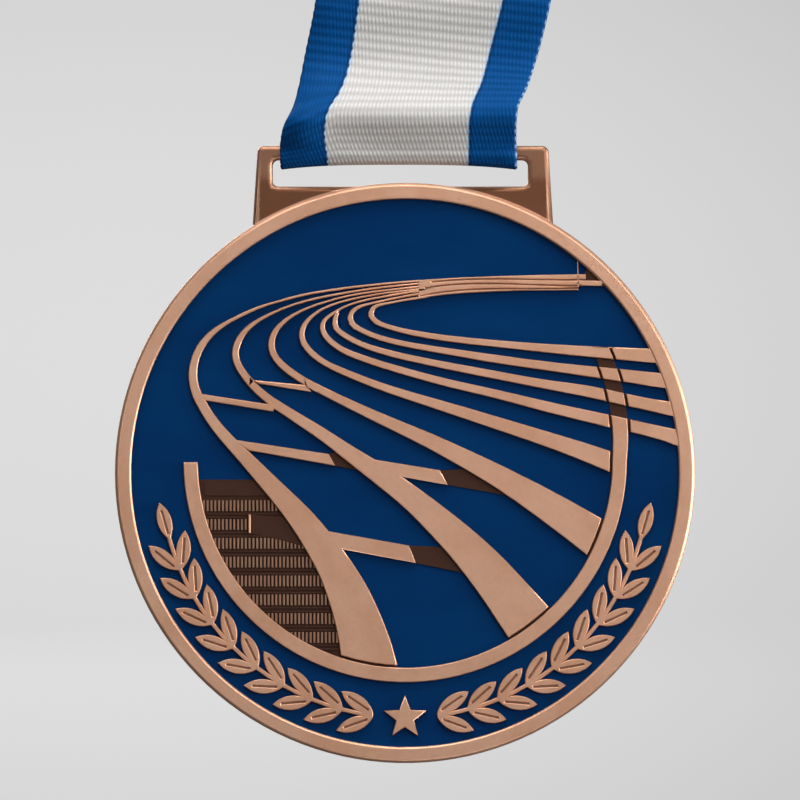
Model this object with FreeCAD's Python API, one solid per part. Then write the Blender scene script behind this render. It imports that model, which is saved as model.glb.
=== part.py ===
import FreeCAD, Part

import math
import os

from FreeCAD import Vector

# A sports finisher medal on its folded neck ribbon, in millimetres.  +Z is up and
# the decorated face looks along -Y.  The origin is the axis of the rack bar that
# the folded ribbon hangs on.  Everything is drawn about the disc's centre, as
# (x, z) on the face and y through the thickness, and write_node lowers it.

# Disc, one die casting with its bail
DISC_RADIUS = 35.0
HALF_THICKNESS = 1.75
RIM_INNER_RADIUS = 33.05
RIM_ROUNDING = 0.35
BACK_RIM_WIDTH = 2.0
BACK_RECESS = 0.3

# Levels along Y on the face, from the lowest to the highest
POOL_FLOOR_Y = -0.75
ENAMEL_Y = -1.05
STAND_Y = -1.05
LOW_RELIEF_Y = -1.2
SLAT_Y = -1.35
RELIEF_Y = -1.6
ROOT_Y = -0.6
ABOVE_FACE_Y = -2.0
ROOT_OVERLAP = 0.1

# Bail: a flat bar on two posts over the disc
BAIL_HALF_THICKNESS = 1.2
BAIL_TOP_Z = 39.5
BAIL_LEFT_X = -17.8
BAIL_RIGHT_X = 17.3
BAIL_FOOT_Z = 30.0
BAIL_FOOT_FLARE = 0.6
BAIL_CORNER_RADIUS = 0.8
BAIL_SEAT_RADIUS = 34.2
SLOT_LEFT_X = -16.0
SLOT_RIGHT_X = 14.85
SLOT_BOTTOM_Z = 34.6
SLOT_TOP_Z = 37.8
SLOT_CORNER_RADIUS = 0.7
BAR_EDGE_RADIUS = 0.6
BAR_Z = (BAIL_TOP_Z + SLOT_TOP_Z) / 2

# Ring of the stadium, a band that is open at its upper left
RING_CENTRE_Z = 1.5
RING_INNER_RADIUS = 25.0
RING_OUTER_RADIUS = 26.75
RING_LEFT_END_Z = 1.3
RING_FULL_TOP_Z = 6.0
GROOVE_WIDTH = 0.3
RING_UPPER_INNER = ((25.0, 1.5), (24.75, 7.6), (23.0, 13.9))
RING_UPPER_OUTER = ((26.75, 1.5), (26.7, 7.6), (24.6, 15.1))

# Lane lines, innermost first: (x, z, width) along the middle of each raised line,
# from its near end on the right, round the bend on the left, to its far end.
# The first few cross the ring and end at the rim; the others end at the ring.
CROSSING_LINES = 4
BEND_BOTTOM_Z = 5.0
LANE_LINES = (
    ((33.0, 14.0, 1.8), (25.0, 14.45, 1.45), (20.0, 14.8, 1.2), (12.5, 15.45, 0.9), (5.0, 16.25, 0.75),
     (0.0, 17.1, 0.65), (-2.5, 17.8, 0.6), (-3.7, 18.45, 0.65), (-4.1, 19.2, 0.65), (-3.75, 19.95, 0.5),
     (-2.5, 20.4, 0.32), (0.0, 20.87, 0.3), (3.0, 21.4, 0.3)),
    ((33.0, 10.9, 1.8), (26.0, 11.8, 1.5), (17.5, 12.85, 1.1), (10.0, 13.9, 0.98), (5.0, 14.7, 0.8),
     (0.0, 15.55, 0.7), (-3.0, 16.3, 0.67), (-5.4, 17.3, 0.65), (-6.4, 18.1, 0.68), (-6.55, 19.05, 0.6),
     (-5.9, 19.85, 0.45), (-4.5, 20.35, 0.32), (-2.5, 20.82, 0.28), (0.0, 21.33, 0.28), (2.6, 21.75, 0.28)),
    ((34.0, 7.5, 1.9), (26.6, 8.85, 1.45), (22.0, 9.85, 1.4), (17.5, 10.6, 1.15), (10.0, 12.0, 0.98),
     (5.0, 12.95, 0.88), (0.0, 14.0, 0.78), (-3.0, 14.75, 0.74), (-5.4, 15.6, 0.68), (-7.5, 16.75, 0.66),
     (-8.35, 17.6, 0.66), (-8.45, 18.4, 0.62), (-8.1, 19.4, 0.4)),
    ((34.0, 3.95, 2.0), (27.0, 5.75, 1.5), (22.0, 6.85, 1.42), (17.5, 7.9, 1.3), (10.0, 9.75, 1.05),
     (5.0, 10.9, 0.96), (0.0, 12.25, 0.87), (-5.0, 13.8, 0.8), (-7.7, 14.95, 0.74), (-9.2, 16.1, 0.72),
     (-9.9, 17.2, 0.66), (-9.85, 18.2, 0.52), (-9.0, 19.05, 0.38), (-7.5, 19.95, 0.3), (-5.0, 20.8, 0.27),
     (-2.5, 21.3, 0.26), (0.0, 21.72, 0.26), (2.6, 22.05, 0.26)),
    ((26.5, 0.7, 2.5), (22.0, 2.4, 2.2), (17.5, 3.95, 1.85), (12.5, 5.55, 1.6), (7.5, 7.15, 1.4),
     (2.5, 8.7, 1.15), (-2.5, 10.3, 0.95), (-7.5, 12.25, 0.82), (-10.0, 13.5, 0.75), (-11.7, 14.95, 0.76),
     (-12.4, 16.2, 0.7), (-12.35, 17.4, 0.64), (-11.7, 18.45, 0.5), (-10.0, 19.75, 0.32), (-7.5, 20.7, 0.27),
     (-5.0, 21.27, 0.26), (-2.5, 21.7, 0.25), (0.0, 21.98, 0.25), (2.6, 22.27, 0.25)),
    ((25.0, -9.2, 5.0), (22.0, -7.1, 4.5), (17.5, -4.15, 3.75), (12.5, -1.1, 2.9), (7.5, 1.6, 2.27),
     (2.5, 4.1, 1.78), (-2.5, 6.35, 1.37), (-7.5, 8.7, 1.08), (-12.3, 11.2, 0.9), (-14.8, 13.0, 0.88),
     (-16.0, 14.7, 0.82), (-16.05, 16.1, 0.78), (-15.4, 17.45, 0.62), (-13.55, 19.0, 0.4),
     (-11.5, 20.0, 0.3), (-10.0, 20.52, 0.27), (-7.5, 21.22, 0.26), (-5.0, 21.7, 0.25),
     (-2.5, 22.03, 0.25), (0.0, 22.3, 0.25), (2.6, 22.58, 0.25)),
    ((17.0, -20.6, 6.8), (12.55, -15.0, 5.5), (10.1, -12.0, 4.95), (7.35, -9.0, 4.3), (4.2, -6.0, 3.6),
     (0.6, -2.9, 2.9), (-3.8, 0.35, 2.35), (-7.5, 2.95, 1.75), (-10.0, 4.7, 1.5), (-15.0, 7.9, 1.15),
     (-17.6, 9.85, 1.0), (-19.5, 12.0, 0.92), (-20.45, 14.1, 0.85), (-20.1, 15.9, 0.8), (-18.9, 17.5, 0.6),
     (-16.6, 19.0, 0.38), (-15.0, 19.73, 0.32), (-12.5, 20.6, 0.3), (-10.0, 21.22, 0.28), (-7.5, 21.7, 0.27),
     (-5.0, 22.1, 0.26), (-2.5, 22.43, 0.25), (0.0, 22.68, 0.25), (2.6, 22.93, 0.25)),
    ((-4.2, -25.0, 7.0), (-4.75, -21.0, 6.2), (-5.6, -18.0, 5.6), (-6.7, -15.0, 5.0), (-8.15, -12.0, 4.3),
     (-10.0, -9.0, 3.7), (-12.15, -6.0, 3.15), (-14.75, -3.0, 2.5), (-17.55, 0.0, 2.0), (-20.1, 2.7, 1.6),
     (-22.4, 5.2, 1.35), (-24.4, 8.1, 1.2), (-25.5, 10.8, 1.1), (-25.45, 13.2, 1.0), (-24.3, 15.75, 0.85),
     (-21.7, 18.0, 0.52), (-20.0, 18.92, 0.42), (-17.5, 20.02, 0.34), (-15.0, 20.78, 0.32),
     (-12.5, 21.43, 0.3), (-10.0, 21.9, 0.28), (-7.5, 22.27, 0.28), (-5.0, 22.57, 0.27),
     (-2.5, 22.83, 0.26), (0.0, 23.05, 0.26), (3.0, 23.25, 0.26)),
)

# Far straight, where the lines run together into one band with fine grooves
FAR_BAND_UPPER = ((1.6, 23.28), (5.0, 23.5), (10.0, 23.72), (15.0, 23.87), (21.8, 24.0))
FAR_BAND_STEPS = ((21.8, 23.25), (23.75, 23.2), (23.75, 22.6), (20.9, 22.55), (20.9, 22.05))
FAR_BAND_LOWER = ((20.9, 22.05), (15.0, 22.02), (10.0, 21.83), (5.0, 21.5), (1.6, 21.0))
FAR_GROOVES = (
    ((3.2, 23.02, 0.1), (5.0, 23.2, 0.12), (10.0, 23.4, 0.12), (21.9, 23.3, 0.14)),
    ((2.4, 22.3, 0.1), (5.0, 22.65, 0.12), (10.0, 22.85, 0.12), (21.2, 22.6, 0.14)),
    ((1.8, 21.35, 0.1), (5.0, 21.88, 0.12), (10.0, 22.2, 0.12), (20.9, 22.3, 0.12)),
)
FAR_GROOVE_Y = -1.4

# Stagger marks across the lanes, each with the low stub that finishes it
STAGGER_BARS = (
    ((-24.6, 9.55), (-15.5, 8.15), (-15.9, 7.4), (-24.4, 8.8)),
    ((-18.4, 11.2), (-11.9, 10.6), (-11.3, 9.8), (-17.6, 10.75)),
    ((-20.8, 4.05), (-9.2, 2.3), (-8.4, 0.85), (-18.8, 2.7)),
    ((-3.8, 1.65), (4.2, 0.35), (5.2, -1.45), (-0.6, -0.4)),
    ((-10.2, -6.85), (0.5, -8.75), (1.3, -10.85), (-7.9, -9.1)),
)
LOW_STUBS = (
    ((-9.3, 2.3), (-7.6, 2.75), (-5.0, 0.2), (-8.5, 0.85)),
    ((4.1, 0.35), (7.6, 0.5), (12.6, -2.75), (5.1, -1.43)),
    ((0.4, -8.75), (4.6, -8.95), (7.4, -12.15), (1.2, -10.83)),
    ((21.7, 23.2), (21.7, 24.3), (22.4, 25.2), (25.0, 23.2), (23.8, 22.4), (23.5, 22.7)),
)

# Grandstand: a low field of seat rows between the ring and the outermost lane
STAND_TOP_Z = -0.8
STAND_LEFT_X = -27.0
STAND_RIGHT = ((-17.0, -0.8), (-14.75, -3.0), (-12.15, -6.0), (-10.0, -9.0), (-8.15, -12.0),
               (-6.7, -15.0), (-5.6, -18.0), (-4.6, -24.5))
SEAT_ROWS = 8
SEAT_ROW_TOP_Z = -3.3
SEAT_ROW_PITCH = 2.27
SEAT_HEIGHT = 1.3
SEAT_WIDTH = 0.24
SEAT_PITCH = 0.46
SEAT_LEFT_X = -24.4
SEAT_RIGHT_X = -7.0
LEDGE_DROP = 0.25
LEDGE_HEIGHT = 0.2
UPPER_SLAB = ((-24.2, -0.95), (-17.0, -0.95), (-15.4, -2.75), (-24.2, -2.75))
WEDGE_SLAB = ((-18.6, -5.0), (-14.2, -5.5), (-11.5, -9.0), (-18.6, -7.25))
WEDGE_EDGE_WIDTH = 0.3

# Laurel border: two branches that rise from a star at the bottom
LAUREL_RADIUS = 29.5
LAUREL_STEM_WIDTH = 0.5
LAUREL_START_DEG = 7.5
LAUREL_STEP_DEG = 7.4
LAUREL_PAIRS = 9
LEAF_LENGTH = 4.7
LEAF_WIDTH = 1.75
LEAF_SPREAD_DEG = 27.0
LEAF_ROOT_OFFSET = 0.25
VEIN_WIDTH = 0.2
VEIN_Y = -1.4
STAR_OUTER_RADIUS = 2.7
STAR_INNER_RADIUS = 1.15
STAR_POINTS = 5

# One point inside each pool of enamel
ENAMEL_POOLS = {
    "enamel_sky_and_border": (0.0, 28.0),
    "enamel_infield": (12.0, 19.0),
    "enamel_lane_1": (10.0, 14.85),
    "enamel_lane_2": (10.0, 12.95),
    "enamel_lane_3": (10.0, 10.9),
    "enamel_lane_4": (10.0, 8.2),
    "enamel_lane_5": (10.0, 3.7),
    "enamel_lane_6_bend": (-18.3, 14.0),
    "enamel_lane_6_middle": (-5.0, 4.6),
    "enamel_lane_6_finish": (15.0, -8.0),
    "enamel_lane_7_bend": (-22.5, 12.0),
    "enamel_lane_7_upper": (-17.5, 5.6),
    "enamel_lane_7_middle": (-7.5, -3.0),
    "enamel_lane_7_finish": (2.0, -17.0),
    "enamel_finish_cell_1": (28.0, 12.85),
    "enamel_finish_cell_2": (29.0, 10.0),
    "enamel_finish_cell_3": (29.5, 6.9),
}

# Neck ribbon: a woven loop, threaded round the bail's bar and folded into a hank
RIBBON_WIDTH = 29.0
RIBBON_THICKNESS = 0.45
RIBBON_AT_BAR_X = -0.95
WRAP_INNER_RADIUS = 1.37
STRAP_TOP_Z = 62.4
STRAP_EDGE = (
    (-15.45, 36.0), (-15.45, 38.6), (-15.2, 40.2), (-14.15, 43.8), (-11.0, 57.2), (-10.25, 62.6),
)
LEGS_MEET_Z = 55.0
LEG_GAP = 0.04
FRONT_LEG_LINE = (
    (-2.2, 40.4), (-3.0, 42.2), (-3.3, 43.5), (-2.95, 44.7), (-2.0, 46.1), (-1.0, 48.6), (-0.45, 51.6),
)
BACK_LEG_LINE = ((1.85, 41.2), (1.4, 44.0), (0.7, 48.0), (0.38, 51.5))
LEG_FACETS = 14
SEAM_BOTTOM_Z = 51.0
SEAM_TOP_Z = 59.6
STITCH_INSET = 1.1
STITCH_DIAMETER = 0.3
STITCH_LENGTH = 1.7
STITCH_GAP = 0.5

# Hank: three racetrack turns of the doubled ribbon
HANGER_HEIGHT = 120.5
HANK_CENTRE_X = 4.15
HANK_BOTTOM_Z = 63.5
HANK_HALF_THICKNESS = 3.5
HANK_NECK_Z = 101.0
HANK_TOP_RADIUS = 7.6
CORE_RADIUS = 4.3
CORE_POINT_Z = 106.0
TIE_BOTTOM_Z = 91.0
TIE_HEIGHT = 8.0
TIE_THICKNESS = 0.8
TIE_CLEARANCE = 0.06

PARTS_FOLDER = "parts"


def at(x, z, y=0.0):
    """A point on the face."""
    return Vector(x, y, z)


def polar(radius, degrees, centre_z=0.0):
    """A point on a circle on the face, counted from +X towards +Z."""
    angle = math.radians(degrees)
    return at(radius * math.cos(angle), centre_z + radius * math.sin(angle))


def polygon(points):
    """A flat face with straight sides."""
    corners = [at(*point) for point in points]
    return Part.Face(Part.makePolygon(corners + corners[:1]))


def spline(points):
    """A smooth curve through points on the face."""
    curve = Part.BSplineCurve()
    curve.interpolate(points)
    return curve


def strip(path):
    """A band along a smooth line of (x, z, width)."""
    middle = spline([at(x, z) for x, z, width in path])
    left = []
    right = []
    for x, z, width in path:
        along = middle.tangent(middle.parameter(at(x, z)))[0]
        across = Vector(-along.z, 0, along.x) * (width / 2)
        left.append(at(x, z) + across)
        right.append(at(x, z) - across)
    edges = [
        spline(left).toShape(),
        Part.makeLine(left[-1], right[-1]),
        spline(right[::-1]).toShape(),
        Part.makeLine(right[0], left[0]),
    ]
    return Part.Face(Part.Wire(edges))


def prism(face, from_y, to_y):
    """A face pushed through the thickness from one level to another."""
    base = face.copy()
    base.translate(Vector(0, from_y, 0))
    return base.extrude(Vector(0, to_y - from_y, 0))


def disc_face(radius, centre_z=0.0):
    """A round face."""
    circle = Part.makeCircle(radius, at(0, centre_z), Vector(0, 1, 0))
    return Part.Face(Part.Wire([circle]))


def ring_segment(inner_radius, outer_radius, start_deg, end_deg, centre_z):
    """A piece of a flat ring, counted from +X towards +Z."""
    middle_deg = (start_deg + end_deg) / 2
    outer = [polar(outer_radius, angle, centre_z) for angle in (start_deg, middle_deg, end_deg)]
    inner = [polar(inner_radius, angle, centre_z) for angle in (end_deg, middle_deg, start_deg)]
    edges = [
        Part.Arc(*outer).toShape(),
        Part.makeLine(outer[-1], inner[0]),
        Part.Arc(*inner).toShape(),
        Part.makeLine(inner[-1], outer[0]),
    ]
    return Part.Face(Part.Wire(edges))


def band_between(inner_points, outer_points):
    """A face between two arcs, each through three points."""
    inner = [at(*point) for point in inner_points]
    outer = [at(*point) for point in outer_points]
    edges = [
        Part.Arc(*inner).toShape(),
        Part.makeLine(inner[-1], outer[-1]),
        Part.Arc(*outer[::-1]).toShape(),
        Part.makeLine(outer[0], inner[0]),
    ]
    return Part.Face(Part.Wire(edges))


def disc_blank():
    """The turned blank: a floor for the enamel inside a rim, with a dished back."""
    profile = [
        (0, POOL_FLOOR_Y),
        (RIM_INNER_RADIUS, POOL_FLOOR_Y),
        (RIM_INNER_RADIUS, -HALF_THICKNESS + RIM_ROUNDING / 2),
        (RIM_INNER_RADIUS + RIM_ROUNDING / 2, -HALF_THICKNESS),
        (DISC_RADIUS - RIM_ROUNDING, -HALF_THICKNESS),
        (DISC_RADIUS, -HALF_THICKNESS + RIM_ROUNDING),
        (DISC_RADIUS, HALF_THICKNESS - RIM_ROUNDING),
        (DISC_RADIUS - RIM_ROUNDING, HALF_THICKNESS),
        (DISC_RADIUS - BACK_RIM_WIDTH, HALF_THICKNESS),
        (DISC_RADIUS - BACK_RIM_WIDTH - BACK_RECESS, HALF_THICKNESS - BACK_RECESS),
        (0, HALF_THICKNESS - BACK_RECESS),
    ]
    corners = [Vector(radius, y, 0) for radius, y in profile]
    half_section = Part.Face(Part.makePolygon(corners + corners[:1]))
    return half_section.revolve(Vector(0, 0, 0), Vector(0, 1, 0), 360)


def rounded_rectangle(left, right, bottom, top, radius):
    """A rectangular face with round corners."""
    plate = Part.makePlane(right - left, top - bottom, at(left, bottom), Vector(0, -1, 0), Vector(1, 0, 0))
    solid = plate.extrude(Vector(0, 1, 0))
    corners = [edge for edge in solid.Edges if abs(edge.tangentAt(edge.FirstParameter).y) > 0.9]
    rounded = solid.makeFillet(radius, corners)
    return [face for face in rounded.Faces if abs(face.CenterOfMass.y - solid.BoundBox.YMin) < 1e-6][0]


def bail():
    """The ribbon bar and its two posts, rounded all along the slot and the bar."""
    outline = [
        (BAIL_LEFT_X - BAIL_FOOT_FLARE, BAIL_FOOT_Z),
        (BAIL_LEFT_X, BAIL_TOP_Z),
        (BAIL_RIGHT_X, BAIL_TOP_Z),
        (BAIL_RIGHT_X + BAIL_FOOT_FLARE, BAIL_FOOT_Z),
    ]
    plate = prism(polygon(outline), -BAIL_HALF_THICKNESS, BAIL_HALF_THICKNESS)
    top_corners = [
        edge for edge in plate.Edges
        if edge.BoundBox.YLength > BAIL_HALF_THICKNESS and edge.BoundBox.ZMin > BAIL_TOP_Z - 1
    ]
    plate = plate.makeFillet(BAIL_CORNER_RADIUS, top_corners)
    slot = rounded_rectangle(SLOT_LEFT_X, SLOT_RIGHT_X, SLOT_BOTTOM_Z, SLOT_TOP_Z, SLOT_CORNER_RADIUS)
    slot.translate(Vector(0, -slot.BoundBox.YMin, 0))
    plate = plate.cut(prism(slot, -HALF_THICKNESS, HALF_THICKNESS))
    bar_edges = [
        edge for edge in plate.Edges
        if edge.BoundBox.YLength < 1e-6 and edge.BoundBox.ZMin > BAIL_FOOT_Z + 0.01
    ]
    plate = plate.makeFillet(BAR_EDGE_RADIUS, bar_edges)
    return plate.cut(prism(disc_face(BAIL_SEAT_RADIUS), -HALF_THICKNESS, HALF_THICKNESS))


def lane_lines():
    """The eight raised lines, each cut off at the rim or the ring."""
    inside_rim = prism(disc_face(RIM_INNER_RADIUS + ROOT_OVERLAP), ROOT_Y, ABOVE_FACE_Y)
    bends = box(-RIM_INNER_RADIUS, 0, BEND_BOTTOM_Z, RIM_INNER_RADIUS, ROOT_Y, ABOVE_FACE_Y)
    inside_ring = prism(disc_face(RING_INNER_RADIUS + ROOT_OVERLAP, RING_CENTRE_Z), ROOT_Y, ABOVE_FACE_Y)
    lines = []
    for index, path in enumerate(LANE_LINES):
        limit = inside_rim if index < CROSSING_LINES else inside_ring.fuse(bends)
        lines.append(prism(strip(path), ROOT_Y, RELIEF_Y).common(limit))
    return lines


def far_straight():
    """The band where the lane lines run together, with its stepped end."""
    steps = [at(*point) for point in FAR_BAND_STEPS]
    upper = [at(*point) for point in FAR_BAND_UPPER]
    lower = [at(*point) for point in FAR_BAND_LOWER]
    edges = [spline(upper).toShape()]
    corners = [upper[-1]] + steps
    for start, end in zip(corners, corners[1:]):
        edges.append(Part.makeLine(start, end))
    edges.append(spline(lower).toShape())
    edges.append(Part.makeLine(lower[-1], upper[0]))
    return prism(Part.Face(Part.Wire(edges)), ROOT_Y, RELIEF_Y)


def stadium_ring():
    """The full-height ring, from its free end on the left round to the finish lanes."""
    left_end = math.degrees(math.asin((RING_LEFT_END_Z - RING_CENTRE_Z) / RING_OUTER_RADIUS))
    lower = ring_segment(RING_INNER_RADIUS, RING_OUTER_RADIUS, -180 - left_end, 0, RING_CENTRE_Z)
    upper = prism(band_between(RING_UPPER_INNER, RING_UPPER_OUTER), ROOT_Y, RELIEF_Y)
    below_lanes = polygon(((0, 0), (40, 0), (40, RING_FULL_TOP_Z), (0, RING_FULL_TOP_Z)))
    return [prism(lower, ROOT_Y, RELIEF_Y), upper.common(prism(below_lanes, ROOT_Y, ABOVE_FACE_Y))]


def low_relief():
    """The dark low metal: stubs of the stagger marks and the ring between the finish lanes."""
    rim_disc = prism(disc_face(RIM_INNER_RADIUS + ROOT_OVERLAP), ROOT_Y, ABOVE_FACE_Y)
    pieces = [prism(polygon(points), ROOT_Y, LOW_RELIEF_Y).common(rim_disc) for points in LOW_STUBS]
    pieces.append(prism(band_between(RING_UPPER_INNER, RING_UPPER_OUTER), ROOT_Y, LOW_RELIEF_Y))
    return pieces


def groove_cutters():
    """Narrow grooves that part the lane lines from the ring, and those of the far straight."""
    inner = ring_segment(RING_INNER_RADIUS - GROOVE_WIDTH, RING_INNER_RADIUS, -115, 0, RING_CENTRE_Z)
    upper_inner = [(x - GROOVE_WIDTH, z) for x, z in RING_UPPER_INNER]
    upper_outer = [(x + GROOVE_WIDTH, z) for x, z in RING_UPPER_OUTER]
    faces = [
        inner,
        band_between(upper_inner, RING_UPPER_INNER),
        band_between(RING_UPPER_OUTER, upper_outer),
    ]
    cutters = [prism(face, LOW_RELIEF_Y, ABOVE_FACE_Y) for face in faces]
    cutters += [prism(strip(path), FAR_GROOVE_Y, ABOVE_FACE_Y) for path in FAR_GROOVES]
    return cutters


def grandstand_field():
    """The outline of the seat rows."""
    corners = [(STAND_LEFT_X, STAND_TOP_Z)] + list(STAND_RIGHT) + [(STAND_LEFT_X, STAND_RIGHT[-1][1])]
    inside_ring = prism(disc_face(RING_INNER_RADIUS + ROOT_OVERLAP, RING_CENTRE_Z), ROOT_Y, ABOVE_FACE_Y)
    return prism(polygon(corners), ROOT_Y, ABOVE_FACE_Y).common(inside_ring)


def box(left, right, bottom, top, from_y, to_y):
    """A block between two levels."""
    low_y = min(from_y, to_y)
    return Part.makeBox(right - left, abs(to_y - from_y), top - bottom, at(left, bottom, low_y))


def grandstand():
    """The stand's floor, its seat rows with a pair of ledges under each, and two plain slabs."""
    field = grandstand_field()
    wedge = prism(polygon(WEDGE_SLAB), ROOT_Y, LOW_RELIEF_Y)
    slab_edge = box(WEDGE_SLAB[0][0] - WEDGE_EDGE_WIDTH, WEDGE_SLAB[0][0], WEDGE_SLAB[-1][1],
                    WEDGE_SLAB[0][1], ROOT_Y, RELIEF_Y)
    rows = []
    for row in range(SEAT_ROWS):
        top = SEAT_ROW_TOP_Z - row * SEAT_ROW_PITCH
        seat_count = int((SEAT_RIGHT_X - SEAT_LEFT_X) / SEAT_PITCH)
        for seat in range(seat_count):
            left = SEAT_LEFT_X + seat * SEAT_PITCH
            rows.append(box(left, left + SEAT_WIDTH, top - SEAT_HEIGHT, top, STAND_Y, SLAT_Y))
        for ledge in (1, 2):
            ledge_top = top - SEAT_HEIGHT - ledge * LEDGE_DROP - (ledge - 1) * LEDGE_HEIGHT
            ledge_bottom = ledge_top - LEDGE_HEIGHT
            rows.append(box(STAND_LEFT_X, SEAT_RIGHT_X, ledge_bottom, ledge_top, STAND_Y, LOW_RELIEF_Y))
    wedge_room = prism(polygon(WEDGE_SLAB), ROOT_Y, ABOVE_FACE_Y)
    seats = Part.makeCompound(rows).common(field).cut([wedge_room, slab_edge])
    floor = field.common(box(STAND_LEFT_X, 0, -30, 0, ROOT_Y, STAND_Y))
    upper = prism(polygon(UPPER_SLAB), ROOT_Y, LOW_RELIEF_Y)
    return [floor, upper.common(field), wedge.common(field), slab_edge] + seats.Solids


def leaf(root, direction_deg):
    """A pointed leaf from its root."""
    angle = math.radians(direction_deg)
    along = Vector(math.cos(angle), 0, math.sin(angle))
    across = Vector(-along.z, 0, along.x)
    tip = root + along * LEAF_LENGTH
    middle = root + along * (LEAF_LENGTH * 0.45)
    edges = [
        Part.Arc(root, middle + across * (LEAF_WIDTH / 2), tip).toShape(),
        Part.Arc(tip, middle - across * (LEAF_WIDTH / 2), root).toShape(),
    ]
    return Part.Face(Part.Wire(edges))


def vein(root, direction_deg):
    """The groove along the middle of a leaf."""
    length = LEAF_LENGTH * 0.62
    groove = box(0, length, -VEIN_WIDTH / 2, VEIN_WIDTH / 2, VEIN_Y, ABOVE_FACE_Y)
    groove.translate(Vector(LEAF_LENGTH * 0.16, 0, 0))
    groove.rotate(Vector(0, 0, 0), Vector(0, -1, 0), direction_deg)
    groove.translate(root)
    return groove


def laurel_leaves():
    """Root and direction of every leaf on both branches."""
    leaves = []
    for side in (-1, 1):
        for pair in range(LAUREL_PAIRS):
            turn = side * (LAUREL_START_DEG + pair * LAUREL_STEP_DEG)
            forward = -90 + turn + side * 90
            for spread in (-1, 1):
                radius = LAUREL_RADIUS + spread * LEAF_ROOT_OFFSET
                leaves.append((polar(radius, -90 + turn), forward - side * spread * LEAF_SPREAD_DEG))
        end = side * (LAUREL_START_DEG + LAUREL_PAIRS * LAUREL_STEP_DEG)
        leaves.append((polar(LAUREL_RADIUS, -90 + end), -90 + end + side * 90))
    return leaves


def laurel():
    """The star, the two stems and the leaves."""
    start = LAUREL_START_DEG
    end = LAUREL_START_DEG + LAUREL_PAIRS * LAUREL_STEP_DEG + 1.0
    half = LAUREL_STEM_WIDTH / 2
    star = []
    for corner in range(2 * STAR_POINTS):
        radius = STAR_INNER_RADIUS if corner % 2 else STAR_OUTER_RADIUS
        point = polar(radius, 90 + corner * 180 / STAR_POINTS, -LAUREL_RADIUS)
        star.append((point.x, point.z))
    faces = [
        polygon(star),
        ring_segment(LAUREL_RADIUS - half, LAUREL_RADIUS + half, -90 + start, -90 + end, 0.0),
        ring_segment(LAUREL_RADIUS - half, LAUREL_RADIUS + half, -90 - end, -90 - start, 0.0),
    ]
    faces += [leaf(root, direction) for root, direction in laurel_leaves()]
    return [prism(face, ROOT_Y, RELIEF_Y) for face in faces]


def relief():
    """Everything that stands out of the enamel, as blocks rooted in the floor."""
    blocks = lane_lines()
    blocks.append(far_straight())
    blocks += [prism(polygon(points), ROOT_Y, RELIEF_Y) for points in STAGGER_BARS]
    blocks += stadium_ring()
    blocks += low_relief()
    blocks += laurel()
    return blocks


def enamel_pools(blocks):
    """The enamel in each recess of the face, by the point that lies in it."""
    sheet = prism(disc_face(RIM_INNER_RADIUS), POOL_FLOOR_Y, ENAMEL_Y)
    filled = sheet.cut(blocks + [grandstand_field()])
    middle_y = (POOL_FLOOR_Y + ENAMEL_Y) / 2
    pools = {}
    for name, (x, z) in ENAMEL_POOLS.items():
        inside = [solid for solid in filled.Solids if solid.isInside(at(x, z, middle_y), 1e-6, False)]
        pools[name] = inside[0]
    return pools


def casting(blocks):
    """The disc, its relief and the bail as one die casting."""
    body = disc_blank().fuse(blocks + grandstand() + [bail()])
    cutters = groove_cutters() + [vein(root, direction) for root, direction in laurel_leaves()]
    return body.cut(cutters).removeSplitter()


def strap_outline():
    """The ribbon's outline from the front, leaning to the right above the bar."""
    left = [at(x, z) for x, z in STRAP_EDGE]
    right = [point + Vector(RIBBON_WIDTH, 0, 0) for point in left]
    edges = [
        spline(left).toShape(),
        Part.makeLine(left[-1], right[-1]),
        spline(right[::-1]).toShape(),
        Part.makeLine(right[0], left[0]),
    ]
    return prism(Part.Face(Part.Wire(edges)), -10, 10)


def leg_outline(side, line):
    """One layer in the side view, faceted from the bar to where the two layers meet."""
    half = RIBBON_THICKNESS / 2
    middle = [Vector(0, side * (WRAP_INNER_RADIUS + half), BAR_Z)]
    middle += [Vector(0, y, z) for y, z in line]
    middle.append(Vector(0, side * (half + LEG_GAP / 2), LEGS_MEET_Z))
    upright = Vector(0, 0, 1)
    curve = Part.BSplineCurve()
    curve.interpolate(Points=middle, InitialTangent=upright, FinalTangent=upright)
    span = curve.LastParameter - curve.FirstParameter
    near, far = [], []
    for facet in range(LEG_FACETS + 1):
        parameter = curve.FirstParameter + span * facet / LEG_FACETS
        along = curve.tangent(parameter)[0]
        across = Vector(0, along.z, -along.y) * half
        near.append(curve.value(parameter) - across)
        far.append(curve.value(parameter) + across)
    rise = Vector(0, 0, STRAP_TOP_Z - LEGS_MEET_Z)
    near.append(near[-1] + rise)
    far.append(far[-1] + rise)
    return near + far[::-1]


def leg(side, line):
    """One layer of the ribbon, from the bar to where it enters the hank."""
    corners = leg_outline(side, line)
    section = Part.Face(Part.makePolygon(corners + corners[:1]))
    section.translate(Vector(-40, 0, 0))
    return section.extrude(Vector(80, 0, 0)).common(strap_outline())


def bar_wrap():
    """The turn of the ribbon under the bail's bar."""
    outer = WRAP_INNER_RADIUS + RIBBON_THICKNESS
    left = RIBBON_AT_BAR_X - RIBBON_WIDTH / 2
    tube = Part.makeCylinder(outer, RIBBON_WIDTH, Vector(left, 0, BAR_Z), Vector(1, 0, 0))
    hollow = Part.makeCylinder(WRAP_INNER_RADIUS, RIBBON_WIDTH, Vector(left, 0, BAR_Z), Vector(1, 0, 0))
    lower_half = box(left, left + RIBBON_WIDTH, BAR_Z - 2 * outer, BAR_Z, -2 * outer, 2 * outer)
    return tube.cut(hollow).common(lower_half)


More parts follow.
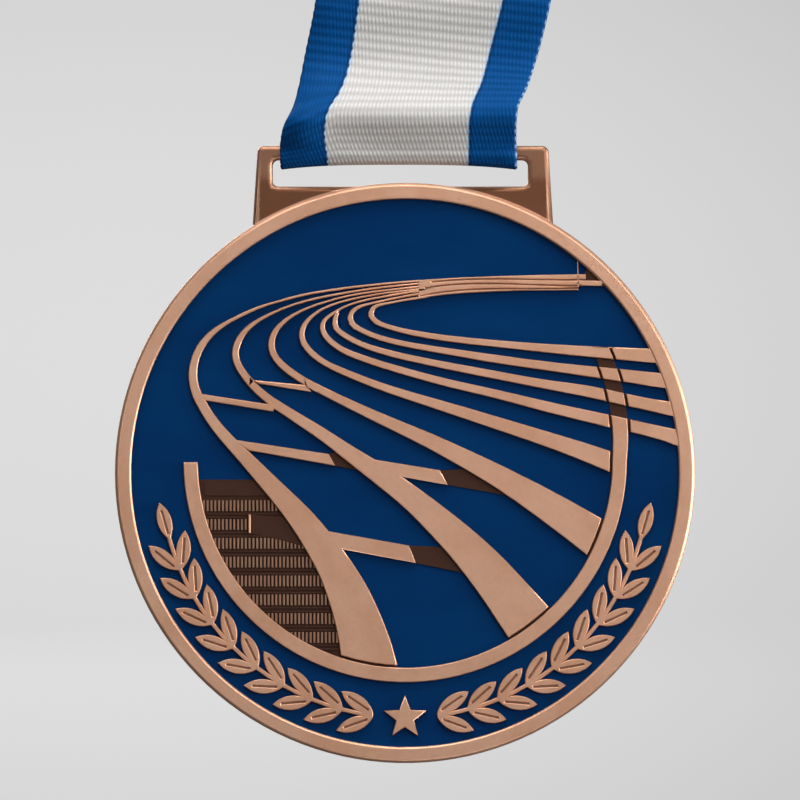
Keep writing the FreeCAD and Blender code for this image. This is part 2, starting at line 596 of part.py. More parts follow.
def seam_overlap():
    """The ribbon's second end, laid on the back layer where the loop is sewn."""
    inner_y = RIBBON_THICKNESS + LEG_GAP / 2
    flap = box(-40, 40, SEAM_BOTTOM_Z, SEAM_TOP_Z, inner_y, inner_y + RIBBON_THICKNESS)
    return flap.common(strap_outline()).cut(leg(1, BACK_LEG_LINE))


def seam_stitches():
    """The thread of a box stitch, one short run after another."""
    lean = math.atan2(STRAP_EDGE[4][0] - STRAP_EDGE[3][0], STRAP_EDGE[4][1] - STRAP_EDGE[3][1])
    centre_z = (SEAM_BOTTOM_Z + SEAM_TOP_Z) / 2
    centre_x = STRAP_EDGE[4][0] + math.tan(lean) * (centre_z - STRAP_EDGE[4][1]) + RIBBON_WIDTH / 2
    half_height = (SEAM_TOP_Z - SEAM_BOTTOM_Z) / 2 - STITCH_INSET
    half_width = RIBBON_WIDTH * math.cos(lean) / 2 - STITCH_INSET - half_height * math.tan(lean)
    corners = [(-half_width, -half_height), (half_width, -half_height), (half_width, half_height),
               (-half_width, half_height)]
    runs = list(zip(corners, corners[1:] + corners[:1]))
    runs += [(corners[0], corners[2]), (corners[1], corners[3])]
    surface_y = 2 * RIBBON_THICKNESS + LEG_GAP / 2
    stitches = []
    for (start_x, start_z), (end_x, end_z) in runs:
        run = at(end_x - start_x, end_z - start_z)
        count = int(run.Length // (STITCH_LENGTH + STITCH_GAP))
        margin = (run.Length - count * (STITCH_LENGTH + STITCH_GAP) + STITCH_GAP) / 2
        unit = run * (1 / run.Length)
        for number in range(count):
            begin = at(start_x, start_z) + unit * (margin + number * (STITCH_LENGTH + STITCH_GAP))
            thread = Part.makeCylinder(STITCH_DIAMETER / 2, STITCH_LENGTH, begin, unit)
            stitches.append(thread)
    group = Part.makeCompound(stitches)
    group = group.common(box(-40, 40, -20, 20, 0, 5))
    group.translate(Vector(centre_x, surface_y, centre_z))
    return group


def hank_section(radius, half_width, neck_z, foot_z):
    """A keyhole shape from the side: a round top that narrows into a straight lower part."""
    top = Vector(0, 0, HANGER_HEIGHT)
    drop = HANGER_HEIGHT - neck_z
    lean = math.atan2(radius - half_width, drop)
    side = radius * math.cos(lean)
    shoulder_z = HANGER_HEIGHT - radius * math.sin(lean)
    left_shoulder = Vector(0, -side, shoulder_z)
    right_shoulder = Vector(0, side, shoulder_z)
    edges = [
        Part.Arc(left_shoulder, top + Vector(0, 0, radius), right_shoulder).toShape(),
        Part.makeLine(right_shoulder, Vector(0, half_width, neck_z)),
        Part.makeLine(Vector(0, half_width, neck_z), Vector(0, half_width, foot_z + half_width)),
        Part.Arc(Vector(0, half_width, foot_z + half_width), Vector(0, 0, foot_z),
                 Vector(0, -half_width, foot_z + half_width)).toShape(),
        Part.makeLine(Vector(0, -half_width, foot_z + half_width), Vector(0, -half_width, neck_z)),
        Part.makeLine(Vector(0, -half_width, neck_z), left_shoulder),
    ]
    return Part.Face(Part.Wire(edges))


def across_hank(face):
    """A side face pushed through the ribbon's width at the hank."""
    section = face.copy()
    section.translate(Vector(HANK_CENTRE_X - RIBBON_WIDTH / 2, 0, 0))
    return section.extrude(Vector(RIBBON_WIDTH, 0, 0))


def core_section():
    """The eye that the rack bar passes through, a drop that closes at the neck."""
    lean = math.asin(CORE_RADIUS / (HANGER_HEIGHT - CORE_POINT_Z))
    side = CORE_RADIUS * math.cos(lean)
    shoulder_z = HANGER_HEIGHT - CORE_RADIUS * math.sin(lean)
    left = Vector(0, -side, shoulder_z)
    right = Vector(0, side, shoulder_z)
    point = Vector(0, 0, CORE_POINT_Z)
    edges = [
        Part.Arc(left, Vector(0, 0, HANGER_HEIGHT + CORE_RADIUS), right).toShape(),
        Part.makeLine(right, point),
        Part.makeLine(point, left),
    ]
    return Part.Face(Part.Wire(edges))


def hank():
    """The outer shape of the folded ribbon, open where the rack bar goes through."""
    outside = across_hank(hank_section(HANK_TOP_RADIUS, HANK_HALF_THICKNESS, HANK_NECK_Z, HANK_BOTTOM_Z))
    return outside.cut(across_hank(core_section()))


def tie():
    """The elastic band round the hank, just under its neck."""
    half_x = RIBBON_WIDTH / 2 + TIE_CLEARANCE
    half_y = HANK_HALF_THICKNESS + TIE_CLEARANCE
    loop = Part.makeBox(2 * (half_x + TIE_THICKNESS), 2 * (half_y + TIE_THICKNESS), TIE_HEIGHT,
                        Vector(-half_x - TIE_THICKNESS, -half_y - TIE_THICKNESS, 0))
    upright = [edge for edge in loop.Edges if edge.BoundBox.ZLength > TIE_HEIGHT / 2]
    loop = loop.makeFillet(TIE_THICKNESS, upright)
    loop = loop.cut(Part.makeBox(2 * half_x, 2 * half_y, TIE_HEIGHT, Vector(-half_x, -half_y, 0)))
    loop.translate(Vector(HANK_CENTRE_X, 0, TIE_BOTTOM_Z))
    return loop


def write_node(name, shape):
    """Lower a piece from the disc's frame to the hanger's and write its file."""
    placed = shape.copy()
    placed.translate(Vector(0, 0, -HANGER_HEIGHT))
    placed.exportStep(os.path.join(PARTS_FOLDER, name + ".step"))
    facts = (name, placed.Volume, len(placed.Solids), placed.isValid())
    print("%-24s %9.2f mm3  %2d solid(s)  valid %s" % facts)


def main():
    """Build every piece and write its file."""
    os.makedirs(PARTS_FOLDER, exist_ok=True)
    blocks = relief()
    write_node("medal_casting", casting(blocks))
    for name, pool in enamel_pools(blocks).items():
        write_node(name, pool)
    write_node("ribbon_front_leg", leg(-1, FRONT_LEG_LINE))
    write_node("ribbon_back_leg", leg(1, BACK_LEG_LINE))
    write_node("ribbon_bar_wrap", bar_wrap())
    write_node("ribbon_seam_overlap", seam_overlap())
    write_node("seam_stitches", seam_stitches())
    write_node("ribbon_hank", hank())
    write_node("hank_tie", tie())


main()
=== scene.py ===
"""A sports finisher medal on its folded neck ribbon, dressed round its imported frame."""

import logging
import math
from collections.abc import Callable, Iterable, Iterator
from contextlib import contextmanager
from dataclasses import dataclass
from enum import Enum

import bpy
import numpy as np
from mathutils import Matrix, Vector


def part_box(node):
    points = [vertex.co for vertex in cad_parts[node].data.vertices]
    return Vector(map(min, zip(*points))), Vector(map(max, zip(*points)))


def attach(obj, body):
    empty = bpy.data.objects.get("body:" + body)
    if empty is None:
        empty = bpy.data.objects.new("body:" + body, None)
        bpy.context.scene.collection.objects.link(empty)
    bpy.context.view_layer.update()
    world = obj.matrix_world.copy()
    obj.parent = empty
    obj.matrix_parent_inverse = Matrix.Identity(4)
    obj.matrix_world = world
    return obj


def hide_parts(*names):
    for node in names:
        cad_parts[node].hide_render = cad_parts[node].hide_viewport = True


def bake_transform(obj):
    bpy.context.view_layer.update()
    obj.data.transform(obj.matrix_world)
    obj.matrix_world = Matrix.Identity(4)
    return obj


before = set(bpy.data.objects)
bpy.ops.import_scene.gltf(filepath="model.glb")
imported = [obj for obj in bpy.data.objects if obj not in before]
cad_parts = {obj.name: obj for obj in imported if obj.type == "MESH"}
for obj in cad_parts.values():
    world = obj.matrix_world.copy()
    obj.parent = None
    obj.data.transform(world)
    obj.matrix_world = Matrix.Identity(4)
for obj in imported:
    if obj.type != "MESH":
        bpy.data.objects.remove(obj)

LOG = logging.getLogger("finisher_medal")
MM = 0.001
BAR_HALF_HEIGHT = 0.85
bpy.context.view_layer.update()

Colour = tuple[float, float, float]
Knots = tuple[tuple[float, float], ...]


# ---------------------------------------------------------------- shader tools


class Signal:
    """A number in a shader tree; Python arithmetic on it adds Math nodes."""

    def __init__(self, kit: "ShaderKit", socket: bpy.types.NodeSocket) -> None:
        """Wrap a socket.

        Args:
            kit: The tree the socket belongs to.
            socket: The output that carries the number.
        """
        self.kit = kit
        self.socket = socket

    def _math(self, operation: str, *values: "Signal | float") -> "Signal":
        """Add one Math node.

        Args:
            operation: The Math node's operation.
            values: Its inputs in order.

        Returns:
            The node's result.
        """
        node = self.kit.node("ShaderNodeMath", {"operation": operation}, dict(enumerate(values)))
        return Signal(self.kit, node.outputs[0])

    def __add__(self, other: "Signal | float") -> "Signal":
        """The sum."""
        return self._math("ADD", self, other)

    def __radd__(self, other: float) -> "Signal":
        """The sum, from the right."""
        return self._math("ADD", other, self)

    def __sub__(self, other: "Signal | float") -> "Signal":
        """The difference."""
        return self._math("SUBTRACT", self, other)

    def __rsub__(self, other: float) -> "Signal":
        """The difference, from the right."""
        return self._math("SUBTRACT", other, self)

    def __mul__(self, other: "Signal | float") -> "Signal":
        """The product."""
        return self._math("MULTIPLY", self, other)

    def __rmul__(self, other: float) -> "Signal":
        """The product, from the right."""
        return self._math("MULTIPLY", other, self)

    def __truediv__(self, other: "Signal | float") -> "Signal":
        """The quotient."""
        return self._math("DIVIDE", self, other)

    def __pow__(self, power: float) -> "Signal":
        """The power."""
        return self._math("POWER", self, power)

    def __abs__(self) -> "Signal":
        """The size without its sign."""
        return self._math("ABSOLUTE", self)

    def sine(self) -> "Signal":
        """The sine of an angle in radians."""
        return self._math("SINE", self)

    def fraction(self) -> "Signal":
        """What is left after the whole number below."""
        return self._math("FRACT", self)

    def whole(self) -> "Signal":
        """The whole number below."""
        return self._math("FLOOR", self)

    def larger(self, other: "Signal | float") -> "Signal":
        """The larger of two."""
        return self._math("MAXIMUM", self, other)

    def smaller(self, other: "Signal | float") -> "Signal":
        """The smaller of two."""
        return self._math("MINIMUM", self, other)

    def ramp(self, start: float, end: float) -> "Signal":
        """Rise smoothly from 0 to 1.

        Args:
            start: Where it is still 0.
            end: Where it is 1; a lower end makes it fall with the signal.

        Returns:
            The mask.
        """
        low, high = min(start, end), max(start, end)
        sockets = {"Value": self, "From Min": low, "From Max": high}
        node = self.kit.node("ShaderNodeMapRange", {"interpolation_type": "SMOOTHSTEP"}, sockets)
        mask = Signal(self.kit, node.outputs["Result"])
        return mask if start < end else 1.0 - mask


class ShaderKit:
    """One material and the nodes that are added to it."""

    def __init__(self, name: str) -> None:
        """Start an empty material.

        Args:
            name: The material's name.
        """
        self.material = bpy.data.materials.new(name)
        self.material.use_nodes = True
        self.tree = self.material.node_tree
        self.tree.nodes.clear()

    def node(self, kind: str, settings: dict | None = None, sockets: dict | None = None) -> bpy.types.Node:
        """Add a node.

        Args:
            kind: The node's type.
            settings: Its own properties, set before its sockets.
            sockets: Values, Signals or output sockets by input name or number.

        Returns:
            The new node.
        """
        made = self.tree.nodes.new(kind)
        for key, value in (settings or {}).items():
            setattr(made, key, value)
        for key, value in (sockets or {}).items():
            source = value.socket if isinstance(value, Signal) else value
            if isinstance(source, bpy.types.NodeSocket):
                self.tree.links.new(source, made.inputs[key])
            else:
                made.inputs[key].default_value = source
        return made

    def coordinates(self) -> bpy.types.NodeSocket:
        """The piece's own coordinates, as a vector in metres."""
        return self.node("ShaderNodeTexCoord").outputs["Object"]

    def place(self) -> tuple[Signal, Signal, Signal, bpy.types.NodeSocket]:
        """The piece's own coordinates.

        Returns:
            Three numbers in millimetres, and the vector in metres.
        """
        vector = self.coordinates()
        parts = self.node("ShaderNodeSeparateXYZ", {}, {0: vector}).outputs
        x, y, z = (Signal(self, part) / MM for part in parts)
        return x, y, z, vector

    def noise(self, vector: bpy.types.NodeSocket, grain: float, detail: float = 2.0) -> Signal:
        """Smooth noise.

        Args:
            vector: The coordinates, in metres.
            grain: The size of one patch in millimetres.
            detail: How many finer layers lie on it.

        Returns:
            A number round one half.
        """
        sockets = {"Vector": vector, "Scale": 1.0 / (grain * MM), "Detail": detail}
        return Signal(self, self.node("ShaderNodeTexNoise", {}, sockets).outputs[0])

    def mix(self, share: Signal, first: object, second: object) -> bpy.types.NodeSocket:
        """Mix two colours.

        Args:
            share: How much of the second there is.
            first: A colour or a socket.
            second: A colour or a socket.

        Returns:
            The mixed colour.
        """
        sockets = {0: share, 6: self._rgba(first), 7: self._rgba(second)}
        return self.node("ShaderNodeMix", {"data_type": "RGBA"}, sockets).outputs[2]

    def shade(self, colour: object, brightness: Signal) -> bpy.types.NodeSocket:
        """A colour made lighter or darker by a number.

        Args:
            colour: A colour or a socket.
            brightness: What the colour is multiplied by.

        Returns:
            The shaded colour.
        """
        grey = self.node("ShaderNodeCombineXYZ", {}, {0: brightness, 1: brightness, 2: brightness})
        source = colour if isinstance(colour, bpy.types.NodeSocket) else tuple(colour)
        sockets = {0: source, 1: grey.outputs[0]}
        return self.node("ShaderNodeVectorMath", {"operation": "MULTIPLY"}, sockets).outputs[0]

    def bump(self, height: Signal, depth: float, strength: float) -> bpy.types.NodeSocket:
        """A fine surface.

        Args:
            height: The surface's height from 0 to 1.
            depth: What 1 stands for, in millimetres.
            strength: How much of it shows.

        Returns:
            The normal.
        """
        sockets = {"Height": height, "Distance": depth * MM, "Strength": strength}
        return self.node("ShaderNodeBump", {}, sockets).outputs[0]

    def surface(self, sockets: dict) -> bpy.types.Material:
        """Close the material with one Principled shader.

        Args:
            sockets: Its values and links.

        Returns:
            The finished material.
        """
        shader = self.node("ShaderNodeBsdfPrincipled", {}, sockets)
        self.node("ShaderNodeOutputMaterial", {}, {"Surface": shader.outputs[0]})
        return self.material

    @staticmethod
    def _rgba(colour: object) -> object:
        """A colour with its alpha, or the socket as it is."""
        return colour if isinstance(colour, bpy.types.NodeSocket) else (*colour, 1.0)


# ---------------------------------------------------------------- finishes


@dataclass(frozen=True)
class AntiqueBronze:
    """Sandblasted copper plating, brushed bright on the high metal and left dark in the low."""

    disc_centre_z: float
    bright: Colour = (0.80, 0.475, 0.325)
    warm: Colour = (0.74, 0.415, 0.27)
    brown: Colour = (0.20, 0.088, 0.048)
    dark: Colour = (0.066, 0.028, 0.017)
    disc_radius: float = 35.0
    field_radius: float = 32.9
    back_field_radius: float = 32.7
    bail_half_thickness: float = 1.2
    bail_sides: tuple[float, float] = (-17.8, 17.3)
    bail_top_z: float = 39.5
    bail_foot_z: float = 35.2
    slot_sides: tuple[float, float] = (-16.0, 14.85)
    slot_heights: tuple[float, float] = (34.6, 37.8)
    worn_width: float = 0.38

    def material(self) -> bpy.types.Material:
        """Build the finish.

        Returns:
            The material, which reads the casting's own coordinates.
        """
        kit = ShaderKit("antique_bronze_satin")
        x, y, z, vector = kit.place()
        up = z - self.disc_centre_z / MM
        radius = (x ** 2 + up ** 2) ** 0.5
        height = 0.0 - y
        mottle = kit.noise(vector, 7.0, 3.0)
        grit = kit.noise(vector, 0.16, 2.0)
        speck = kit.noise(vector, 0.45, 3.0)

        face = y.ramp(-0.2, -0.6) * radius.ramp(self.field_radius + 0.3, self.field_radius)
        low = (height + speck * 0.12).ramp(1.62, 1.46) * face
        slats = height.ramp(1.2, 1.36)
        bail = radius.ramp(self.disc_radius + 0.04, self.disc_radius + 0.2)
        bail_flat = abs(y).ramp(self.bail_half_thickness - 0.24, self.bail_half_thickness - 0.02) * bail
        to_side = (x - self.bail_sides[0]).smaller(self.bail_sides[1] - x).smaller(self.bail_top_z - up)
        to_slot = (self.slot_sides[0] - x).larger(x - self.slot_sides[1])
        to_slot = to_slot.larger(self.slot_heights[0] - up).larger(up - self.slot_heights[1])
        worn = (to_side.smaller(to_slot) + 0.2 * (speck - 0.5)).ramp(self.worn_width, 0.06)
        foot = up.ramp(self.bail_foot_z + 1.2, self.bail_foot_z - 0.6)
        back = y.ramp(1.6, 1.44) * y.ramp(1.2, 1.4)
        gutter = radius.ramp(self.back_field_radius - 1.3, self.back_field_radius + 0.1) * back

        metal = kit.mix(mottle.ramp(0.35, 0.65), self.warm, self.bright)
        metal = kit.mix(bail * 0.35, metal, self.brown)
        patina = 0.60 + 0.2 * speck + 0.34 * foot
        metal = kit.mix(bail_flat * patina * (1.0 - 0.75 * worn), metal, self.brown)
        metal = kit.mix(low * (1.0 - slats * 0.38), metal, self.dark)
        metal = kit.mix(gutter * 0.6, metal, self.brown)
        metal = kit.shade(metal, 0.93 + 0.14 * speck)
        roughness = 0.47 + 0.1 * speck + 0.06 * low
        normal = kit.bump(grit + 0.5 * speck, 0.022, 0.4)
        return kit.surface(
            {"Base Color": metal, "Metallic": 1.0 - low * 0.25, "Roughness": roughness, "Normal": normal}
        )


@dataclass(frozen=True)
class BlueEnamel:
    """Soft enamel, poured into the recesses: deep, glossy and not quite even."""

    deep: Colour = (0.0002, 0.025, 0.104)
    clear: Colour = (0.0003, 0.031, 0.118)

    def material(self) -> bpy.types.Material:
        """Build the finish.

        Returns:
            The material.
        """
        kit = ShaderKit("blue_enamel_gloss")
        vector = kit.coordinates()
        stretched = kit.node(
            "ShaderNodeMapping", {"vector_type": "POINT"}, {"Vector": vector, "Scale": (1.0, 1.0, 2.4)}
        ).outputs[0]
        cloud = kit.noise(stretched, 16.0, 3.0)
        swell = kit.noise(vector, 9.0, 1.0)
        peel = kit.noise(vector, 1.1, 1.0)
        fleck = kit.noise(vector, 0.12, 1.0)
        colour = kit.mix(cloud.ramp(0.32, 0.72), self.deep, self.clear)
        colour = kit.shade(colour, 0.94 + 0.12 * fleck)
        normal = kit.bump(swell + 0.06 * peel, 0.25, 0.22)
        return kit.surface(
            {
                "Base Color": colour,
                "Roughness": 0.13 + 0.08 * cloud,
                "Specular IOR Level": 0.16,
                "Normal": normal,
            }
        )


@dataclass(frozen=True)
class WovenRibbon:
    """Ribbed polyester ribbon with dyed borders; it reads a map in millimetres on the cloth."""

    width: float
    border: float
    rib: float
    thread: float = 0.46
    slant: float = 0.42
    white: Colour = (0.62, 0.605, 0.59)
    blue: Colour = (0.0005, 0.067, 0.25)
    edge_thread: Colour = (0.42, 0.62, 0.80)

    def material(self) -> bpy.types.Material:
        """Build the finish.

        Returns:
            The material.
        """
        kit = ShaderKit("woven_ribbon")
        chart = kit.node("ShaderNodeUVMap", {"uv_map": "cloth"}).outputs[0]
        across, along, _ = (
            Signal(kit, part) for part in kit.node("ShaderNodeSeparateXYZ", {}, {0: chart}).outputs
        )
        fuzz = Signal(kit, kit.node("ShaderNodeTexNoise", {}, {"Vector": chart, "Scale": 2.6}).outputs[0])
        cloud = Signal(kit, kit.node("ShaderNodeTexNoise", {}, {"Vector": chart, "Scale": 0.22}).outputs[0])

        pick = along / self.rib + 0.05 * cloud
        odd = (pick.whole() * 0.5).fraction() * 2.0
        crest = 0.5 + 0.5 * ((pick - 0.25) * (2.0 * math.pi)).sine()
        lean = 0.5 * odd + self.slant * pick.fraction() + 0.5 * cloud
        floats = ((across / self.thread + lean).fraction() * math.pi).sine()
        dash = (0.35 + 0.65 * crest) * floats ** 1.5
        height = 0.5 * crest + 0.5 * dash

        stepped = across + 0.1 * (crest - 0.5)
        far_border = self.width - self.border
        inside = stepped.ramp(self.border - 0.05, self.border + 0.05)
        inside = inside * stepped.ramp(far_border + 0.05, far_border - 0.05)

        def beside(outwards: float, core: float) -> Signal:
            """A line along each colour change.

            Args:
                outwards: How far it lies on the blue side.
                core: How far it is full on either side of its middle.

            Returns:
                The mask of both lines.
            """
            near = abs(across - (self.border - outwards)).ramp(0.3, core)
            return near + abs(across - (far_border + outwards)).ramp(0.3, core)

        knots = beside(-0.1, 0.1)
        # Painted shadow along the blue side of each colour change.
        painted_border_shadow = beside(0.28, 0.05)
        loops = across.ramp(self.width - 0.32, self.width - 0.12) * crest
        # The cloth is made darker along its left edge.
        darker_left_edge = across.ramp(0.34, 0.16)

        colour = kit.mix(inside, self.blue, self.white)
        colour = kit.mix(knots * crest * 0.75 + loops * 0.6, colour, self.edge_thread)
        # Painted shade in the grooves between ribs and painted highlights on the rib crests and thread
        # floats.
        light = 0.80 + 0.09 * crest + 0.22 * dash + 0.16 * (fuzz - 0.5)
        light = light * (1.0 - 0.32 * painted_border_shadow) * (1.0 - 0.45 * darker_left_edge)
        colour = kit.shade(colour, light)
        normal = kit.bump(height + 0.1 * fuzz, 0.11, 0.7)
        return kit.surface(
            {
                "Base Color": colour,
                "Roughness": 0.66 - 0.1 * height,
                "Specular IOR Level": 0.06,
                "Normal": normal,
            }
        )


@dataclass(frozen=True)
class SeamThread:
    """Twisted sewing thread."""

    colour: Colour = (0.70, 0.70, 0.70)

    def material(self) -> bpy.types.Material:
        """Build the finish.

        Returns:
            The material.
        """
        kit = ShaderKit("seam_thread")
        x, _, z, vector = kit.place()
        twist = (((x + z * 0.8) * 9.0).sine() + 1.0) * 0.5
        fuzz = kit.noise(vector, 0.2, 2.0)
        # Painted shade: the thread is darker in the grooves of its twist and lighter on its plies.
        colour = kit.shade(self.colour, 0.72 + 0.28 * twist + 0.1 * fuzz)
        return kit.surface(
            {
                "Base Color": colour,
                "Roughness": 0.6,
                "Sheen Weight": 0.2,
                "Normal": kit.bump(twist, 0.05, 0.6),
            }
        )


@dataclass(frozen=True)
class KnittedElastic:
    """Black elastic tape with a fine knit over its rubber cords."""

    bottom_z: float
    colour: Colour = (0.014, 0.016, 0.021)
    stitch: float = 0.9
    course: float = 0.5

    def material(self) -> bpy.types.Material:
        """Build the finish.

        Returns:
            The material.
        """
        kit = ShaderKit("knitted_elastic")
        x, y, z, vector = kit.place()
        walk = (x + y) / self.stitch
        row = (z - self.bottom_z / MM) / self.course
        odd = (row.whole() * 0.5).fraction() * 2.0
        loop = (((walk + odd * 0.5).fraction()) * math.pi).sine()
        cord = ((row.fraction()) * math.pi).sine()
        fuzz = kit.noise(vector, 0.25, 2.0)
        height = loop * cord
        # Painted highlights on the raised knit loops, and painted shade between them.
        colour = kit.shade(self.colour, 0.7 + 0.9 * height + 0.5 * fuzz)
        return kit.surface(
            {
                "Base Color": colour,
                "Roughness": 0.82 - 0.14 * height,
                "Sheen Weight": 0.25,
                "Normal": kit.bump(height + 0.2 * fuzz, 0.14, 0.7),
            }
        )


@dataclass(frozen=True)
class StudioPaper:
    """Pale seamless paper that glows, with a painted pool of light behind the medal and a little to its
    left.
    """

    disc_centre_z: float
    tone: float = 0.04
    glow: float = 0.72
    falloff: float = 16.5
    least: float = 0.78
    glow_spot_reach: float = 600.0
    left_of_centre: float = 0.055
    above_centre: float = 0.012
    narrowing: float = 0.6

    def material(self) -> bpy.types.Material:
        """Build the finish.

        Returns:
            The material.
        """
        kit = ShaderKit("studio_paper")
        x, y, z, _ = kit.place()
        depth = (y + self.glow_spot_reach).larger(self.glow_spot_reach * 0.5)
        sideways = (x / depth + self.left_of_centre) * self.narrowing
        upwards = (z - self.disc_centre_z / MM) / depth - self.above_centre
        # Painted pool of light: the paper's glow is brightest in a spot behind the medal and falls off
        # towards least.
        light = (1.0 - self.falloff * (sideways ** 2 + upwards ** 2)).larger(self.least)
        return kit.surface(
            {
                "Base Color": (self.tone, self.tone, self.tone, 1.0),
                "Roughness": 1.0,
                "Specular IOR Level": 0.0,
                "Emission Color": kit.shade((1.0, 1.0, 1.0), light),
                "Emission Strength": self.glow,
            }
        )


# ---------------------------------------------------------------- bench


class Bench:
    """The place where one piece at a time is worked with Blender's own tools."""

    @staticmethod
    def clear() -> None:
        """Leave edit mode and drop the whole selection."""
        if bpy.context.object and bpy.context.object.mode != "OBJECT":
            bpy.ops.object.mode_set(mode="OBJECT")
        bpy.ops.object.select_all(action="DESELECT")

    @classmethod
    def take(cls, piece: bpy.types.Object) -> None:
        """Make one piece the only selected and active one.

        Args:
            piece: The piece.
        """
        cls.clear()
        piece.select_set(True)
        bpy.context.view_layer.objects.active = piece

    @classmethod
    @contextmanager
    def editing(cls, piece: bpy.types.Object, mode: str = "FACE") -> Iterator[None]:
        """Edit mode on a piece.

        Args:
            piece: The piece.
            mode: Which kind of element is selected.

        Yields:
            Nothing; the piece is back in object mode afterwards.
        """
        cls.take(piece)
        bpy.ops.object.mode_set(mode="EDIT")
        bpy.ops.mesh.select_mode(type=mode)
        yield
        bpy.ops.object.mode_set(mode="OBJECT")

    @staticmethod
    def _unpick(mesh: bpy.types.Mesh) -> None:
        """Drop the selection of a mesh's vertices, edges and faces."""
        for elements in (mesh.vertices, mesh.edges, mesh.polygons):
            elements.foreach_set("select", [False] * len(elements))

    @classmethod
    def pick_faces(cls, piece: bpy.types.Object, test: Callable[[Vector, Vector], bool]) -> None:
        """Select the faces that pass a test, and nothing else.

        Args:
            piece: The piece, in object mode.
            test: Says yes or no to a face's centre and normal.
        """
        cls._unpick(piece.data)
        for face in piece.data.polygons:
            face.select = test(face.center, face.normal)

    @classmethod
    def pick_edges(cls, piece: bpy.types.Object, test: Callable[[Vector, Vector], bool]) -> None:
        """Select the edges that pass a test, and nothing else.

        Args:
            piece: The piece, in object mode.
            test: Says yes or no to an edge's two ends.
        """
        mesh = piece.data
        cls._unpick(mesh)
        for edge in mesh.edges:
            start, end = (mesh.vertices[index] for index in edge.vertices)
            if test(start.co, end.co):
                edge.select = start.select = end.select = True

    @classmethod
    def copy_node(cls, node: str, name: str) -> bpy.types.Object:
        """A free copy of a CAD node, with its loose triangles merged.

        Args:
            node: The CAD node.
            name: The copy's name.

        Returns:
            The copy.
        """
        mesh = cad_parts[node].data.copy()
        mesh.materials.clear()
        piece = bpy.data.objects.new(name, mesh)
        bpy.context.scene.collection.objects.link(piece)
        with cls.editing(piece):
            bpy.ops.mesh.select_all(action="SELECT")
            bpy.ops.mesh.remove_doubles(threshold=1e-7)
        return piece

    @classmethod
    def soften(cls, piece: bpy.types.Object, degrees: float) -> None:
        """Shade a piece smooth, apart from edges sharper than an angle."""
        cls.take(piece)
        bpy.ops.object.shade_smooth_by_angle(angle=math.radians(degrees))


def rise(values: np.ndarray, start: float, end: float) -> np.ndarray:
    """A smooth step from 0 at start to 1 at end.

    Args:
        values: Where it is read.
        start: The foot of the step.
        end: The head of the step.

    Returns:
        The step's height.
    """
    t = np.clip((values - start) / (end - start), 0.0, 1.0)
    return t * t * (3.0 - 2.0 * t)


def hump(values: np.ndarray, middle: float, spread: float) -> np.ndarray:
    """A bell of height 1.

    Args:
        values: Where it is read.
        middle: Where it peaks.
        spread: How far from its peak it is down to a third.

    Returns:
        The bell's height.
    """
    return np.exp(-(((values - middle) / spread) ** 2))


def through(knots: Knots, values: np.ndarray) -> np.ndarray:
    """A smooth line through knots that doesn't overshoot them.

    Args:
        knots: Pairs of place and value.
        values: Where it is read.

    Returns:
        The line's values.
    """
    places, heights = (np.array(column, float) for column in zip(*knots))
    gaps = np.diff(places)
    slopes = np.diff(heights) / gaps
    inner = np.where(
        slopes[:-1] * slopes[1:] > 0,
        2 * slopes[:-1] * slopes[1:] / np.where(slopes[:-1] + slopes[1:] == 0, 1, slopes[:-1] + slopes[1:]),
        0.0,
    )
    rates = np.concatenate([[slopes[0]], inner, [slopes[-1]]])
    held = np.clip(values, places[0], places[-1])
    index = np.clip(np.searchsorted(places, held) - 1, 0, len(gaps) - 1)
    gap = gaps[index]
    t = (held - places[index]) / gap
    return (
        heights[index] * (1 + 2 * t) * (1 - t) ** 2
        + rates[index] * gap * t * (1 - t) ** 2
        + heights[index + 1] * t**2 * (3 - 2 * t)
        + rates[index + 1] * gap * t**2 * (t - 1)
    )


# ---------------------------------------------------------------- medal


